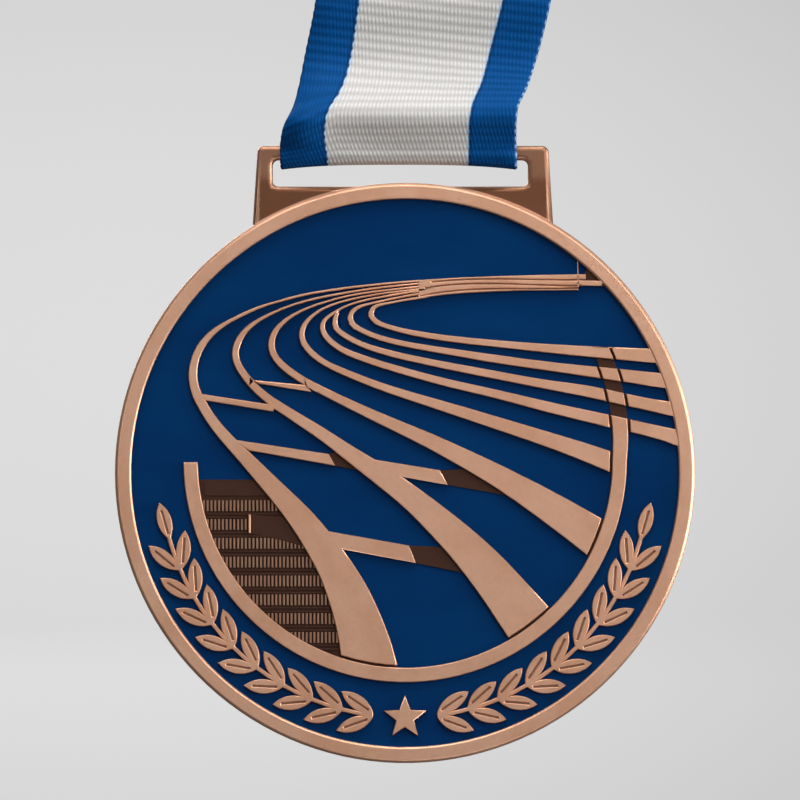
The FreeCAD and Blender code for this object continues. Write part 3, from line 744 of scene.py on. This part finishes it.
@dataclass
class MedalCasting:
    """The disc, its relief and its bail, with every raised edge broken."""

    disc_centre: Vector
    disc_radius: float = 35.0
    relief_level: float = 1.6
    slat_level: float = 1.35
    low_level: float = 1.2
    rim_inner_edge: float = 33.225
    edge_break: float = 0.1
    fine_break: float = 0.03
    rim_rounding: float = 0.09
    smooth_angle: float = 32.0

    def build(self) -> bpy.types.Object:
        """Copy the casting, break the edges of its relief and round its rim.

        Returns:
            The finished casting.
        """
        piece = Bench.copy_node("medal_casting", "medal_disc_and_bail")
        self._break_edges(piece, self.relief_level, self.edge_break)
        self._break_edges(piece, self.slat_level, self.fine_break)
        self._break_edges(piece, self.low_level, self.fine_break)
        self._round_rim(piece)
        Bench.soften(piece, self.smooth_angle)
        Bench.pick_faces(piece, lambda centre, normal: abs(normal.y) > 0.999)
        with Bench.editing(piece):
            bpy.ops.mesh.faces_shade_flat()
        return piece

    def _break_edges(self, piece: bpy.types.Object, level: float, width: float) -> None:
        """Lower the flat tops at one level of the disc and raise them again inside a narrow inset.

        Args:
            piece: The casting.
            level: The height of the tops.
            width: The width and depth of the broken edge.
        """

        def on_top(centre: Vector, normal: Vector) -> bool:
            """Whether a face is one of the flat tops."""
            inside = math.hypot(centre.x, centre.z - self.disc_centre.z) < (self.disc_radius - 1.0) * MM
            return inside and normal.y < -0.99 and abs(centre.y + level * MM) < 0.012 * MM

        Bench.pick_faces(piece, on_top)
        with Bench.editing(piece):
            bpy.ops.transform.translate(value=(0.0, width * MM, 0.0))
            bpy.ops.mesh.inset(thickness=width * MM, depth=0.0)
            bpy.ops.transform.translate(value=(0.0, -width * MM, 0.0))

    def _round_rim(self, piece: bpy.types.Object) -> None:
        """Bevel the rim's circles on both sides of the disc.

        Args:
            piece: The casting.
        """

        def on_rim(start: Vector, end: Vector) -> bool:
            """Whether an edge lies along one of the rim's circles.

            Args:
                start: One end of the edge.
                end: Its other end.

            Returns:
                Yes or no.
            """
            if abs(start.y - end.y) > 1e-6 or abs(start.y) < 1.39 * MM:
                return False
            radii = [math.hypot(p.x, p.z - self.disc_centre.z) / MM for p in (start, end)]
            return abs(radii[0] - radii[1]) < 0.02 and (
                min(radii) > self.disc_radius - 0.4 or abs(min(radii) - self.rim_inner_edge) < 0.02
            )

        Bench.pick_edges(piece, on_rim)
        with Bench.editing(piece, "EDGE"):
            bpy.ops.mesh.bevel(offset=self.rim_rounding * MM, segments=3, affect="EDGES")

    def dress(self, piece: bpy.types.Object) -> None:
        """Plate the casting and put it on the medal's body.

        Args:
            piece: The casting.
        """
        piece.data.materials.append(AntiqueBronze(self.disc_centre.z).material())
        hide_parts("medal_casting")
        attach(piece, "medal")


@dataclass
class EnamelPools:
    """The enamel in the recesses."""

    prefix: str = "enamel_"

    def dress(self) -> int:
        """Give every pool its gloss.

        Returns:
            How many pools there are.
        """
        gloss = BlueEnamel().material()
        pools = [node for name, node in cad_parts.items() if name.startswith(self.prefix)]
        for pool in pools:
            pool.data.materials.clear()
            pool.data.materials.append(gloss)
        return len(pools)


# ---------------------------------------------------------------- ribbon


class Layer(Enum):
    """Which of the two layers of the doubled ribbon a run belongs to."""

    FRONT = -1
    BACK = 1


@dataclass
class NeckRibbon:
    """One woven strip, sewn into a loop, threaded round the bail's bar and folded into a hank.

    Sizes are in millimetres.  Heights count from the disc's centre until the mesh is made.
    """

    disc_centre: Vector
    bar_z: float
    width: float = 28.65
    border: float = 5.9
    thickness: float = 0.45
    length: float = 860.0
    rib: float = 1.06
    wrap_radius: float = 1.6
    layer_offset: float = 0.25
    join_z: float = 61.8
    lane_entry_z: float = 67.6
    turn_z: float = 67.6
    neck_z: float = 101.0
    eye_z: float = 120.5
    bend_top_z: float = 65.5
    bend_bottom_z: float = 57.5
    half_thickness: float = 3.5
    top_radius: float = 7.6
    lane_pitch: float = 1.0
    lanes: int = 3
    seam_bottom_z: float = 51.0
    seam_top_z: float = 59.6
    flap_overrun: float = 1.6
    layer_gap: float = 0.03
    fine_top_z: float = 63.0
    turn_per_row: float = 0.26
    row_steps: tuple[float, float] = (0.16, 2.4)
    eased_points: int = 21
    edge_thinning: float = 0.14
    rib_lean: float = 6.5
    rib_fan: float = 24.0
    corner_flare: float = 0.8
    bottom_lift: float = 0.42
    bottom_sag: float = 0.6
    scallop: float = 0.05
    left_curl: float = 0.75
    right_curl: float = 0.25
    belly: float = 0.42
    corner_turn: float = 0.9
    right_fold: float = 0.3
    back_wave: float = 0.6
    top_drift: float = 0.35
    low_drift: float = 0.3
    sample: float = 0.05
    left_edge: Knots = (
        (36.0, -15.0), (37.6, -15.05), (38.8, -15.1), (41.2, -14.75), (44.1, -13.42), (51.1, -11.97),
        (57.2, -10.76), (62.5, -10.2),
    )
    left_border: Knots = (
        (36.0, -9.3), (37.2, -9.3), (41.0, -9.7), (43.0, -9.45), (44.3, -8.75), (45.6, -7.95), (47.7, -7.1),
        (51.4, -6.3), (57.2, -5.44), (62.5, -4.3),
    )
    right_border: Knots = (
        (36.0, 7.6), (41.7, 7.6), (43.6, 7.86), (47.5, 9.31), (51.4, 10.28), (57.2, 11.73), (62.5, 12.6),
    )
    right_edge: Knots = (
        (36.0, 13.6), (38.0, 13.5), (41.7, 13.42), (43.6, 13.56), (46.8, 14.87), (51.4, 16.3),
        (57.2, 17.65), (62.5, 18.5),
    )
    front_profile: Knots = (
        (38.65, -1.6), (38.9, -1.61), (39.7, -1.95), (40.6, -2.45), (41.6, -3.15), (42.6, -3.75),
        (43.5, -3.8), (44.8, -2.95), (46.4, -1.95), (48.2, -1.2), (50.3, -0.8), (52.6, -1.0), (55.0, -1.6),
        (57.2, -2.0), (59.2, -1.55), (60.9, -0.5), (62.0, -0.25),
    )
    back_profile: Knots = (
        (38.65, 1.6), (41.2, 1.85), (44.0, 1.35), (48.0, 0.6), (51.5, 0.3), (56.0, 0.25), (62.0, 0.25),
    )

    def _leg(self, layer: Layer) -> np.ndarray:
        """One layer from the bar's middle height to the join.

        Args:
            layer: Which layer.

        Returns:
            Points (y, z).
        """
        heights = np.arange(self.bar_z, self.join_z, self.sample)
        knots = self.front_profile if layer is Layer.FRONT else self.back_profile
        return np.column_stack([through(knots, heights), heights])

    def _wrap(self) -> np.ndarray:
        """The turn under the bar, from the back to the front.

        Returns:
            Points (y, z).
        """
        angles = np.linspace(0.0, math.pi, 100)
        return np.column_stack(
            [self.wrap_radius * np.cos(angles), self.bar_z - self.wrap_radius * np.sin(angles)]
        )

    def _hank(self) -> np.ndarray:
        """The middle line of the doubled ribbon through the hank.

        Returns:
            Points (y, z).
        """
        tail_z = np.arange(self.join_z, self.lane_entry_z, self.sample)
        outer = self.half_thickness - self.lane_pitch / 2
        points = [np.column_stack([outer * rise(tail_z, self.join_z, self.lane_entry_z), tail_z])]
        for lane in range(self.lanes):
            depth = self.lane_pitch * (lane + 0.5)
            half, radius = self.half_thickness - depth, self.top_radius - depth
            lean = math.atan2(radius - half, self.eye_z - self.neck_z)
            angles = np.linspace(-lean, math.pi + lean, 160)
            points.append([[half, self.turn_z], [half, self.neck_z]])
            points.append(
                np.column_stack([radius * np.cos(angles), self.eye_z + radius * np.sin(angles)])
            )
            points.append([[-half, self.neck_z], [-half, self.turn_z]])
            if lane < self.lanes - 1:
                inner = half - self.lane_pitch
                turn_radius, centre = (half + inner) / 2, (inner - half) / 2
                angles = np.linspace(math.pi, 2 * math.pi, 60)
                points.append(
                    np.column_stack(
                        [centre + turn_radius * np.cos(angles), self.turn_z + turn_radius * np.sin(angles)]
                    )
                )
        return self._eased(self._resampled(np.concatenate([np.asarray(run) for run in points])))

    def _resampled(self, points: np.ndarray) -> np.ndarray:
        """The same line in even short steps.

        Args:
            points: The line's points (y, z).

        Returns:
            The new points.
        """
        steps = np.linalg.norm(np.diff(points, axis=0), axis=1)
        keep = np.concatenate([[True], steps > 1e-6])
        points = points[keep]
        run = np.concatenate([[0.0], np.cumsum(np.linalg.norm(np.diff(points, axis=0), axis=1))])
        places = np.arange(0.0, run[-1], self.sample)
        return np.column_stack([np.interp(places, run, points[:, axis]) for axis in (0, 1)])

    def _eased(self, points: np.ndarray) -> np.ndarray:
        """The same line with its corners eased.

        Args:
            points: The line's points (y, z).

        Returns:
            The new points.
        """
        reach = self.eased_points
        window = np.hanning(2 * reach + 1)
        window /= window.sum()
        padded = np.pad(points, ((reach, reach), (0, 0)), mode="reflect", reflect_type="odd")
        return np.column_stack([np.convolve(padded[:, axis], window, "valid") for axis in (0, 1)])

    @staticmethod
    def _offset(points: np.ndarray, distance: float) -> np.ndarray:
        """A line beside another.

        Args:
            points: The line's points (y, z).
            distance: How far to its left.

        Returns:
            The new points.
        """
        along = np.gradient(points, axis=0)
        along /= np.linalg.norm(along, axis=1)[:, None]
        return points + distance * np.column_stack([-along[:, 1], along[:, 0]])

    def centreline(self) -> tuple[np.ndarray, np.ndarray]:
        """The strip's middle line from its sewn outer end to its inner one.

        Returns:
            Points (y, z), and for each whether it lies in the hank.
        """
        pair = self._hank()
        end_gap = self.thickness + self.layer_gap
        flap_end_z = self.seam_bottom_z - self.flap_overrun
        flap_z = np.arange(self.seam_top_z, flap_end_z, -self.sample)
        flap_y = through(self.back_profile, flap_z) + end_gap * rise(flap_z, flap_end_z, self.seam_bottom_z)
        flap = np.column_stack([flap_y, flap_z])
        back = self._leg(Layer.BACK)[::-1]
        back = back[back[:, 1] < flap_z[-1]]
        front = self._leg(Layer.FRONT)
        used = 2 * (self.join_z - self.bar_z) + math.pi * self.wrap_radius
        reach = int((self.length - used) / 2 / self.sample)
        pair = pair[:reach]
        up = self._offset(pair, self.layer_offset)
        down = self._offset(pair, -self.layer_offset)[::-1]
        spin = np.linspace(0.0, math.pi, 24)[1:-1]
        ahead = pair[-1] - pair[-2]
        ahead /= np.linalg.norm(ahead)
        side = (up[-1] - down[0]) / 2
        fold = pair[-1] + np.outer(np.cos(spin), side) + np.outer(np.sin(spin), ahead * self.layer_offset)
        under_z = np.arange(self.join_z, self.seam_bottom_z, -self.sample)
        under = np.column_stack([through(self.back_profile, under_z), under_z])
        runs = [flap, back, self._wrap(), front, up, fold, down, under]
        flags = [False, False, False, False, True, True, True, False]
        line = np.concatenate(runs)
        in_hank = np.concatenate([np.full(len(run), flag) for run, flag in zip(runs, flags)])
        return line, in_hank

    def _rows(self, line: np.ndarray) -> tuple[np.ndarray, np.ndarray]:
        """Choose the rows of the mesh: close where the line bends or shows.

        Args:
            line: The dense middle line.

        Returns:
            The chosen indices and the distance along the line at every point.
        """
        steps = np.linalg.norm(np.diff(line, axis=0), axis=1)
        run = np.concatenate([[0.0], np.cumsum(steps)])
        along = np.gradient(line, axis=0)
        along /= np.maximum(np.linalg.norm(along, axis=1)[:, None], 1e-9)
        turn = np.linalg.norm(np.gradient(along, axis=0), axis=1) / np.maximum(np.gradient(run), 1e-6)
        turn = np.convolve(turn, np.full(9, 1 / 9), "same")
        step = np.clip(self.turn_per_row / np.maximum(turn, 1e-6), *self.row_steps)
        step = np.where(line[:, 1] < self.fine_top_z, np.minimum(step, self.rib / 4), step)
        chosen, reached = [0], 0.0
        for index in range(1, len(line)):
            if run[index] - reached >= step[index]:
                chosen.append(index)
                reached = run[index]
        if chosen[-1] != len(line) - 1:
            chosen.append(len(line) - 1)
        return np.array(chosen), run

    def _columns(self) -> np.ndarray:
        """Places across the ribbon, close together at the edges.

        Returns:
            Distances from the left edge.
        """
        edge = [0.0, 0.13, 0.45, 0.95, 1.6, 2.4, 3.3, 4.2, 5.1, self.border]
        middle = np.linspace(self.border, self.width - self.border, 15)[1:-1]
        return np.concatenate([edge, middle, self.width - np.array(edge[::-1])])

    def _across(self, heights: np.ndarray, places: np.ndarray) -> np.ndarray:
        """Where each point lies from side to side.

        Args:
            heights: The rows' heights.
            places: The columns' places on the cloth.

        Returns:
            One row of x for each height.
        """
        marks = [0.0, self.border, self.width - self.border, self.width]
        edges = (self.left_edge, self.left_border, self.right_border, self.right_edge)
        lines = np.array([through(knots, heights) for knots in edges]).T
        return np.array([np.interp(places, marks, row) for row in lines])

    def _swell(self, line: np.ndarray, side: np.ndarray, places: np.ndarray) -> np.ndarray:
        """How far each point stands off the plain profile, towards +Y.

        Args:
            line: The rows' points (y, z).
            side: For each row, -1 on the front layer of the strap and 1 behind.
            places: The columns' places on the cloth.

        Returns:
            One row of offsets for each row.
        """
        z = line[:, 1][:, None]
        u = (places / self.width - 0.5)[None, :]
        front = (side < 0)[:, None]
        strap = rise(z, self.lane_entry_z, self.bend_bottom_z)
        loose = rise(z, 37.2, 39.6) * rise(z, 49.5, 45.5)
        left = np.clip((-0.40 - u) / 0.10, 0.0, 1.0) ** 2
        right = np.clip((u - 0.44) / 0.06, 0.0, 1.0) ** 2
        unsewn = np.where(front, 1.0, rise(z, 50.5, 47.0))
        curl = self.left_curl * left * rise(z, 38.0, 43.0) + self.right_curl * right * rise(z, 40.0, 46.0)
        curl = curl * strap * unsewn
        bulge = -self.belly * hump(u, -0.34, 0.13) * loose + self.corner_turn * left * hump(z, 40.2, 3.2)
        bulge = bulge - self.corner_flare * rise(u, -0.26, -0.42) * rise(z, 38.8, 40.8) * rise(z, 44.5, 41.5)
        fold = -self.right_fold * hump(u, 0.47, 0.05) * hump(z, 38.0, 1.1)
        wave = 0.09 * np.sin(u * 9.0 + z * 0.55) + 0.06 * np.sin(u * 17.0 - z * 0.8 + 1.3)
        return curl + np.where(front, bulge + fold + wave * loose, wave * loose * self.back_wave)

    def _chart(
        self, run: np.ndarray, line: np.ndarray, side: np.ndarray, places: np.ndarray
    ) -> np.ndarray:
        """The distance along the cloth at each point, with the ribs' lean and fan.

        Args:
            run: The rows' distances along the middle line.
            line: The rows' points (y, z).
            side: For each row, -1 on the front layer of the strap.
            places: The columns' places on the cloth.

        Returns:
            One row of distances for each row.
        """
        z = line[:, 1][:, None]
        off_centre = (places - self.width / 2)[None, :]
        beyond = np.clip(self.border + 0.6 - places, 0.0, None)[None, :]
        front = (side < 0)[:, None]
        lean = math.tan(math.radians(self.rib_lean)) * off_centre * rise(z, 44.0, 50.0) * rise(z, 66.0, 58.0)
        fan = math.tan(math.radians(self.rib_fan)) * beyond * rise(z, 36.4, 39.5) * rise(z, 46.5, 42.0)
        return run[:, None] + np.where(front, lean + fan, 0.0)

    def build(self) -> bpy.types.Object:
        """Weave the strip as one closed thin shell with a map of the cloth on it.

        Returns:
            The ribbon.
        """
        line, in_hank = self.centreline()
        chosen, run_all = self._rows(line)
        places = self._columns()
        points, run = line[chosen], run_all[chosen]
        along = np.gradient(line, axis=0)[chosen]
        side = np.where(in_hank[chosen], 0, np.where(points[:, 0] < 0, -1, 1))
        x = self._across(points[:, 1], places)
        chart = self._chart(run, points, side, places)
        swell = self._swell(points, side, places)
        fine = rise(points[:, 1], self.fine_top_z, self.fine_top_z - 1.0)[:, None]
        bite = -self.scallop * np.cos(2 * math.pi * chart / self.rib) * fine
        rim = np.zeros_like(x)
        rim[:, [0, -1]] = 1.0
        x = x + rim * bite * np.sign(places - self.width / 2)[None, :]
        drift = self.top_drift * np.sin(run / 57.0) * rise(points[:, 1], 99.0, 112.0)
        low_drift = self.low_drift * np.sin(run / 41.0 + 1.0) * rise(points[:, 1], 90.0, 75.0)
        drift = drift + low_drift * in_hank[chosen]
        x = x + drift[:, None]
        sag = self.bottom_lift - self.bottom_sag * (np.abs(places / self.width - 0.5) * 2) ** 3
        bottom = rise(points[:, 1], self.bar_z + 0.6, self.bar_z - 1.5)
        y = points[:, 0][:, None] + swell
        z = points[:, 1][:, None] + bottom[:, None] * sag[None, :]
        sheet = np.stack([x, y, z], axis=-1)
        return self._shell(sheet, along, chart, places)

    def _shell(
        self, sheet: np.ndarray, along: np.ndarray, chart: np.ndarray, places: np.ndarray
    ) -> bpy.types.Object:
        """Give the sheet its thickness and its map.

        Args:
            sheet: The middle surface, rows by columns by 3, in millimetres.
            along: The direction (y, z) of each row's line; not used.
            chart: Distances along the cloth.
            places: Places across the cloth.

        Returns:
            The mesh object, in metres.
        """
        rows, columns = sheet.shape[:2]
        down_rows = np.gradient(sheet, axis=0)
        cross_rows = np.gradient(sheet, axis=1)
        normal = np.cross(down_rows, cross_rows)
        normal /= np.maximum(np.linalg.norm(normal, axis=2, keepdims=True), 1e-12)
        half = np.full(columns, self.thickness / 2)
        half[[0, -1]] = self.thickness * self.edge_thinning
        shell = np.concatenate(
            [sheet + normal * half[None, :, None], (sheet - normal * half[None, :, None])[:, ::-1]], axis=1
        )
        ring = 2 * columns
        vertices = shell.reshape(-1, 3) * MM
        vertices[:, 2] += self.disc_centre.z
        faces, corners = [], []
        chart_ring = np.concatenate([chart, chart[:, ::-1]], axis=1)
        places_ring = np.concatenate([places, places[::-1]])
        for row in range(rows - 1):
            for column in range(ring):
                after = (column + 1) % ring
                corner = [(row, column), (row, after), (row + 1, after), (row + 1, column)]
                faces.append([r * ring + c for r, c in corner])
                corners += corner
        for row in (0, rows - 1):
            for column in range(columns - 1):
                mirror = ring - 1 - column
                corner = [(row, column), (row, mirror), (row, mirror - 1), (row, column + 1)]
                corner = corner if row == 0 else corner[::-1]
                faces.append([r * ring + c for r, c in corner])
                corners += corner
        mesh = bpy.data.meshes.new("neck_ribbon")
        mesh.from_pydata(vertices.tolist(), [], faces)
        cloth = mesh.uv_layers.new(name="cloth")
        row_of, column_of = np.array(corners).T
        chart_uv = np.column_stack([places_ring[column_of], chart_ring[row_of, column_of]])
        cloth.data.foreach_set("uv", chart_uv.astype(np.float32).ravel())
        piece = bpy.data.objects.new("neck_ribbon", mesh)
        bpy.context.scene.collection.objects.link(piece)
        with Bench.editing(piece):
            bpy.ops.mesh.select_all(action="SELECT")
            bpy.ops.mesh.normals_make_consistent(inside=False)
        Bench.soften(piece, 60.0)
        return piece

    def dress(self, piece: bpy.types.Object) -> None:
        """Dye the ribbon, hide the CAD pieces it replaces and bake its placement into its mesh.

        Args:
            piece: The ribbon.
        """
        piece.data.materials.append(WovenRibbon(self.width, self.border, self.rib).material())
        legs = ("ribbon_front_leg", "ribbon_back_leg")
        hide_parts(*legs, "ribbon_bar_wrap", "ribbon_seam_overlap", "ribbon_hank")
        self.width * MM
        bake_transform(piece)


@dataclass
class SeamStitches:
    """The box stitch that closes the loop."""

    def dress(self) -> None:
        """Dress the stitches as thread."""
        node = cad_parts["seam_stitches"]
        node.data.materials.clear()
        node.data.materials.append(SeamThread().material())


@dataclass
class HankTie:
    """The knitted elastic band round the hank."""

    thickness: float = 0.8
    corner: float = 1.3
    courses: int = 8
    cord_height: float = 0.1

    def build(self) -> bpy.types.Object:
        """Form the band from a block that is opened, rounded, ribbed and given its wall.

        Returns:
            The band.
        """
        low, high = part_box("hank_tie")
        low, high = Vector(low), Vector(high)
        size, middle = high - low, (high + low) / 2
        Bench.clear()
        bpy.ops.mesh.primitive_cube_add(size=1.0, location=middle)
        piece = bpy.context.object
        piece.name = "elastic_tie"
        piece.scale = size
        bpy.ops.object.transform_apply(location=True, rotation=True, scale=True)
        Bench.pick_faces(piece, lambda centre, normal: abs(normal.z) > 0.9)
        with Bench.editing(piece):
            bpy.ops.mesh.delete(type="ONLY_FACE")
        Bench.pick_edges(piece, lambda start, end: abs(start.z - end.z) > size.z / 2)
        with Bench.editing(piece, "EDGE"):
            bpy.ops.mesh.bevel(offset=self.corner * MM, segments=6, affect="EDGES")
        Bench.pick_edges(piece, lambda start, end: abs(start.z - end.z) > size.z / 2)
        with Bench.editing(piece, "EDGE"):
            bpy.ops.mesh.subdivide(number_cuts=4 * self.courses - 1)
        spacing = size.z / (2 * self.courses)

        def on_crest(centre: Vector, end: Vector) -> bool:
            """Whether an edge runs along the crest of a cord.

            Args:
                centre: One end of the edge.
                end: Its other end.

            Returns:
                Yes or no.
            """
            steps = (centre.z - low.z) / spacing
            level = abs(centre.z - end.z) < 1e-7
            return level and abs(steps - round(steps)) < 0.05 and round(steps) % 2 == 1

        Bench.pick_edges(piece, on_crest)
        with Bench.editing(piece, "EDGE"):
            bpy.ops.transform.shrink_fatten(value=self.cord_height * MM)
        wall = piece.modifiers.new("wall", "SOLIDIFY")
        wall.thickness = self.thickness * MM
        wall.offset = -1.0
        Bench.take(piece)
        bpy.ops.object.modifier_apply(modifier=wall.name)
        Bench.soften(piece, 50.0)
        return piece

    def dress(self, piece: bpy.types.Object) -> None:
        """Dress the band and put it on the hank.

        Args:
            piece: The band.
        """
        piece.data.materials.append(KnittedElastic(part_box("hank_tie")[0][2]).material())
        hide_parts("hank_tie")
        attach(piece, "hank")


# ---------------------------------------------------------------- studio


@dataclass(frozen=True)
class Softbox:
    """One rectangular lamp that faces the medal."""

    name: str
    place: tuple[float, float, float]
    size: tuple[float, float]
    power: float
    tint: Colour = (1.0, 1.0, 1.0)

    def hang(self, target: Vector) -> None:
        """Hang the lamp and turn it towards the medal.

        Args:
            target: What it faces.
        """
        lamp = bpy.data.lights.new(self.name, "AREA")
        lamp.shape = "RECTANGLE"
        lamp.size, lamp.size_y = self.size
        lamp.energy = self.power
        lamp.color = self.tint
        holder = bpy.data.objects.new(self.name, lamp)
        bpy.context.scene.collection.objects.link(holder)
        holder.location = target + Vector(self.place)
        holder.rotation_mode = "QUATERNION"
        holder.rotation_quaternion = (target - holder.location).to_track_quat("-Z", "Y")


@dataclass
class Studio:
    """Seamless paper, soft lamps and the camera."""

    disc_centre: Vector
    disc_radius: float = 0.035
    paper_radius: float = 3.0
    floor_gap: float = 0.035
    bend_radius: float = 1.1
    bend_steps: int = 12
    spin_steps: int = 64
    wall_height: float = 3.2
    lens: float = 223.3
    sensor: float = 36.0
    camera_distance: float = 0.6
    view_x: float = -0.000605
    view_z: float = 0.0088
    world_tone: float = 0.12
    lamps: tuple[Softbox, ...] = (
        Softbox("softbox_key", (0.34, -0.62, 0.30), (0.34, 0.34), 2.2, (1.0, 0.985, 0.965)),
        Softbox("softbox_top", (-0.05, -0.30, 0.70), (0.60, 0.34), 4.9),
        Softbox("softbox_left", (-0.50, -0.66, 0.05), (0.30, 0.50), 0.9, (0.97, 0.985, 1.0)),
        Softbox("softbox_right", (0.72, -0.14, -0.06), (0.26, 0.50), 7.5),
        Softbox("softbox_floor", (0.10, -0.40, -0.52), (0.50, 0.30), 1.6),
        Softbox("softbox_rear", (-0.35, 0.80, 0.40), (0.60, 0.50), 6.0),
    )

    def build(self) -> None:
        """Set up the paper, the lamps, the surroundings and the camera."""
        self._paper()
        for lamp in self.lamps:
            lamp.hang(self.disc_centre)
        self._surroundings()
        self._camera()

    def _paper(self) -> None:
        """Spin the seamless paper from a line of its section."""
        floor_z = self.disc_centre.z - self.disc_radius - self.floor_gap
        Bench.clear()
        bpy.ops.mesh.primitive_plane_add(size=0.01, location=(0.0, 0.0, floor_z))
        piece = bpy.context.object
        piece.name = "studio_paper_sweep"
        bpy.ops.object.transform_apply(location=True, rotation=True, scale=True)
        with Bench.editing(piece, "VERT"):
            bpy.ops.mesh.select_all(action="SELECT")
            bpy.ops.mesh.merge(type="CENTER")
            flat = self.paper_radius - self.bend_radius
            bpy.ops.mesh.extrude_region_move(TRANSFORM_OT_translate={"value": (flat, 0.0, 0.0)})
            for step in range(self.bend_steps):
                start, end = (math.pi / 2 * (step + part) / self.bend_steps for part in (0, 1))
                outwards = self.bend_radius * (math.sin(end) - math.sin(start))
                upwards = self.bend_radius * (math.cos(start) - math.cos(end))
                move = (outwards, 0.0, upwards)
                bpy.ops.mesh.extrude_region_move(TRANSFORM_OT_translate={"value": move})
            bpy.ops.mesh.extrude_region_move(TRANSFORM_OT_translate={"value": (0.0, 0.0, self.wall_height)})
            bpy.ops.mesh.select_all(action="SELECT")
            foot = (0.0, 0.0, floor_z)
            bpy.ops.mesh.spin(steps=self.spin_steps, angle=2 * math.pi, center=foot, axis=(0.0, 0.0, 1.0))
            bpy.ops.mesh.select_all(action="SELECT")
            bpy.ops.mesh.remove_doubles(threshold=1e-5)
            bpy.ops.mesh.normals_make_consistent(inside=True)
        Bench.soften(piece, 60.0)
        piece.data.materials.append(StudioPaper(self.disc_centre.z).material())
        piece.visible_glossy = False
        piece.visible_diffuse = False

    def _surroundings(self) -> None:
        """Fill the room with dim even light."""
        world = bpy.data.worlds.new("studio_room")
        world.use_nodes = True
        backdrop = world.node_tree.nodes["Background"]
        backdrop.inputs["Color"].default_value = (1.0, 1.0, 1.0, 1.0)
        backdrop.inputs["Strength"].default_value = self.world_tone
        bpy.context.scene.world = world
        bpy.context.scene.view_settings.view_transform = "Standard"

    def _camera(self) -> None:
        """Put the camera straight in front of the disc."""
        data = bpy.data.cameras.new("camera_front")
        data.lens = self.lens
        data.sensor_width = self.sensor
        data.dof.use_dof = False
        camera = bpy.data.objects.new("camera_front", data)
        bpy.context.scene.collection.objects.link(camera)
        camera.location = self.disc_centre + Vector((self.view_x, -self.camera_distance, self.view_z))
        camera.rotation_euler = (math.pi / 2, 0.0, 0.0)
        bpy.context.scene.camera = camera


# ---------------------------------------------------------------- assembly


def report(pieces: Iterable[bpy.types.Object]) -> None:
    """Log each piece with its size.

    Args:
        pieces: The finished pieces.
    """
    for piece in pieces:
        piece.data.calc_loop_triangles()
        LOG.info("%s: %d triangles", piece.name, len(piece.data.loop_triangles))


def main() -> None:
    """Build every sub-assembly in order."""
    low, high = (Vector(corner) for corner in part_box("medal_casting"))
    disc_centre = Vector(((low.x + high.x) / 2, 0.0, low.z + MedalCasting.disc_radius * MM))
    bar_z = (high.z - disc_centre.z) / MM - BAR_HALF_HEIGHT

    studio = Studio(disc_centre)
    studio.build()

    casting = MedalCasting(disc_centre)
    disc = casting.build()
    casting.dress(disc)
    LOG.info("enamel pools: %d", EnamelPools().dress())

    ribbon = NeckRibbon(disc_centre, bar_z)
    strip = ribbon.build()
    ribbon.dress(strip)
    SeamStitches().dress()

    tie = HankTie()
    band = tie.build()
    tie.dress(band)
    report([disc, strip, band])


if __name__ == "__main__":
    logging.basicConfig(level=logging.INFO)
    main()
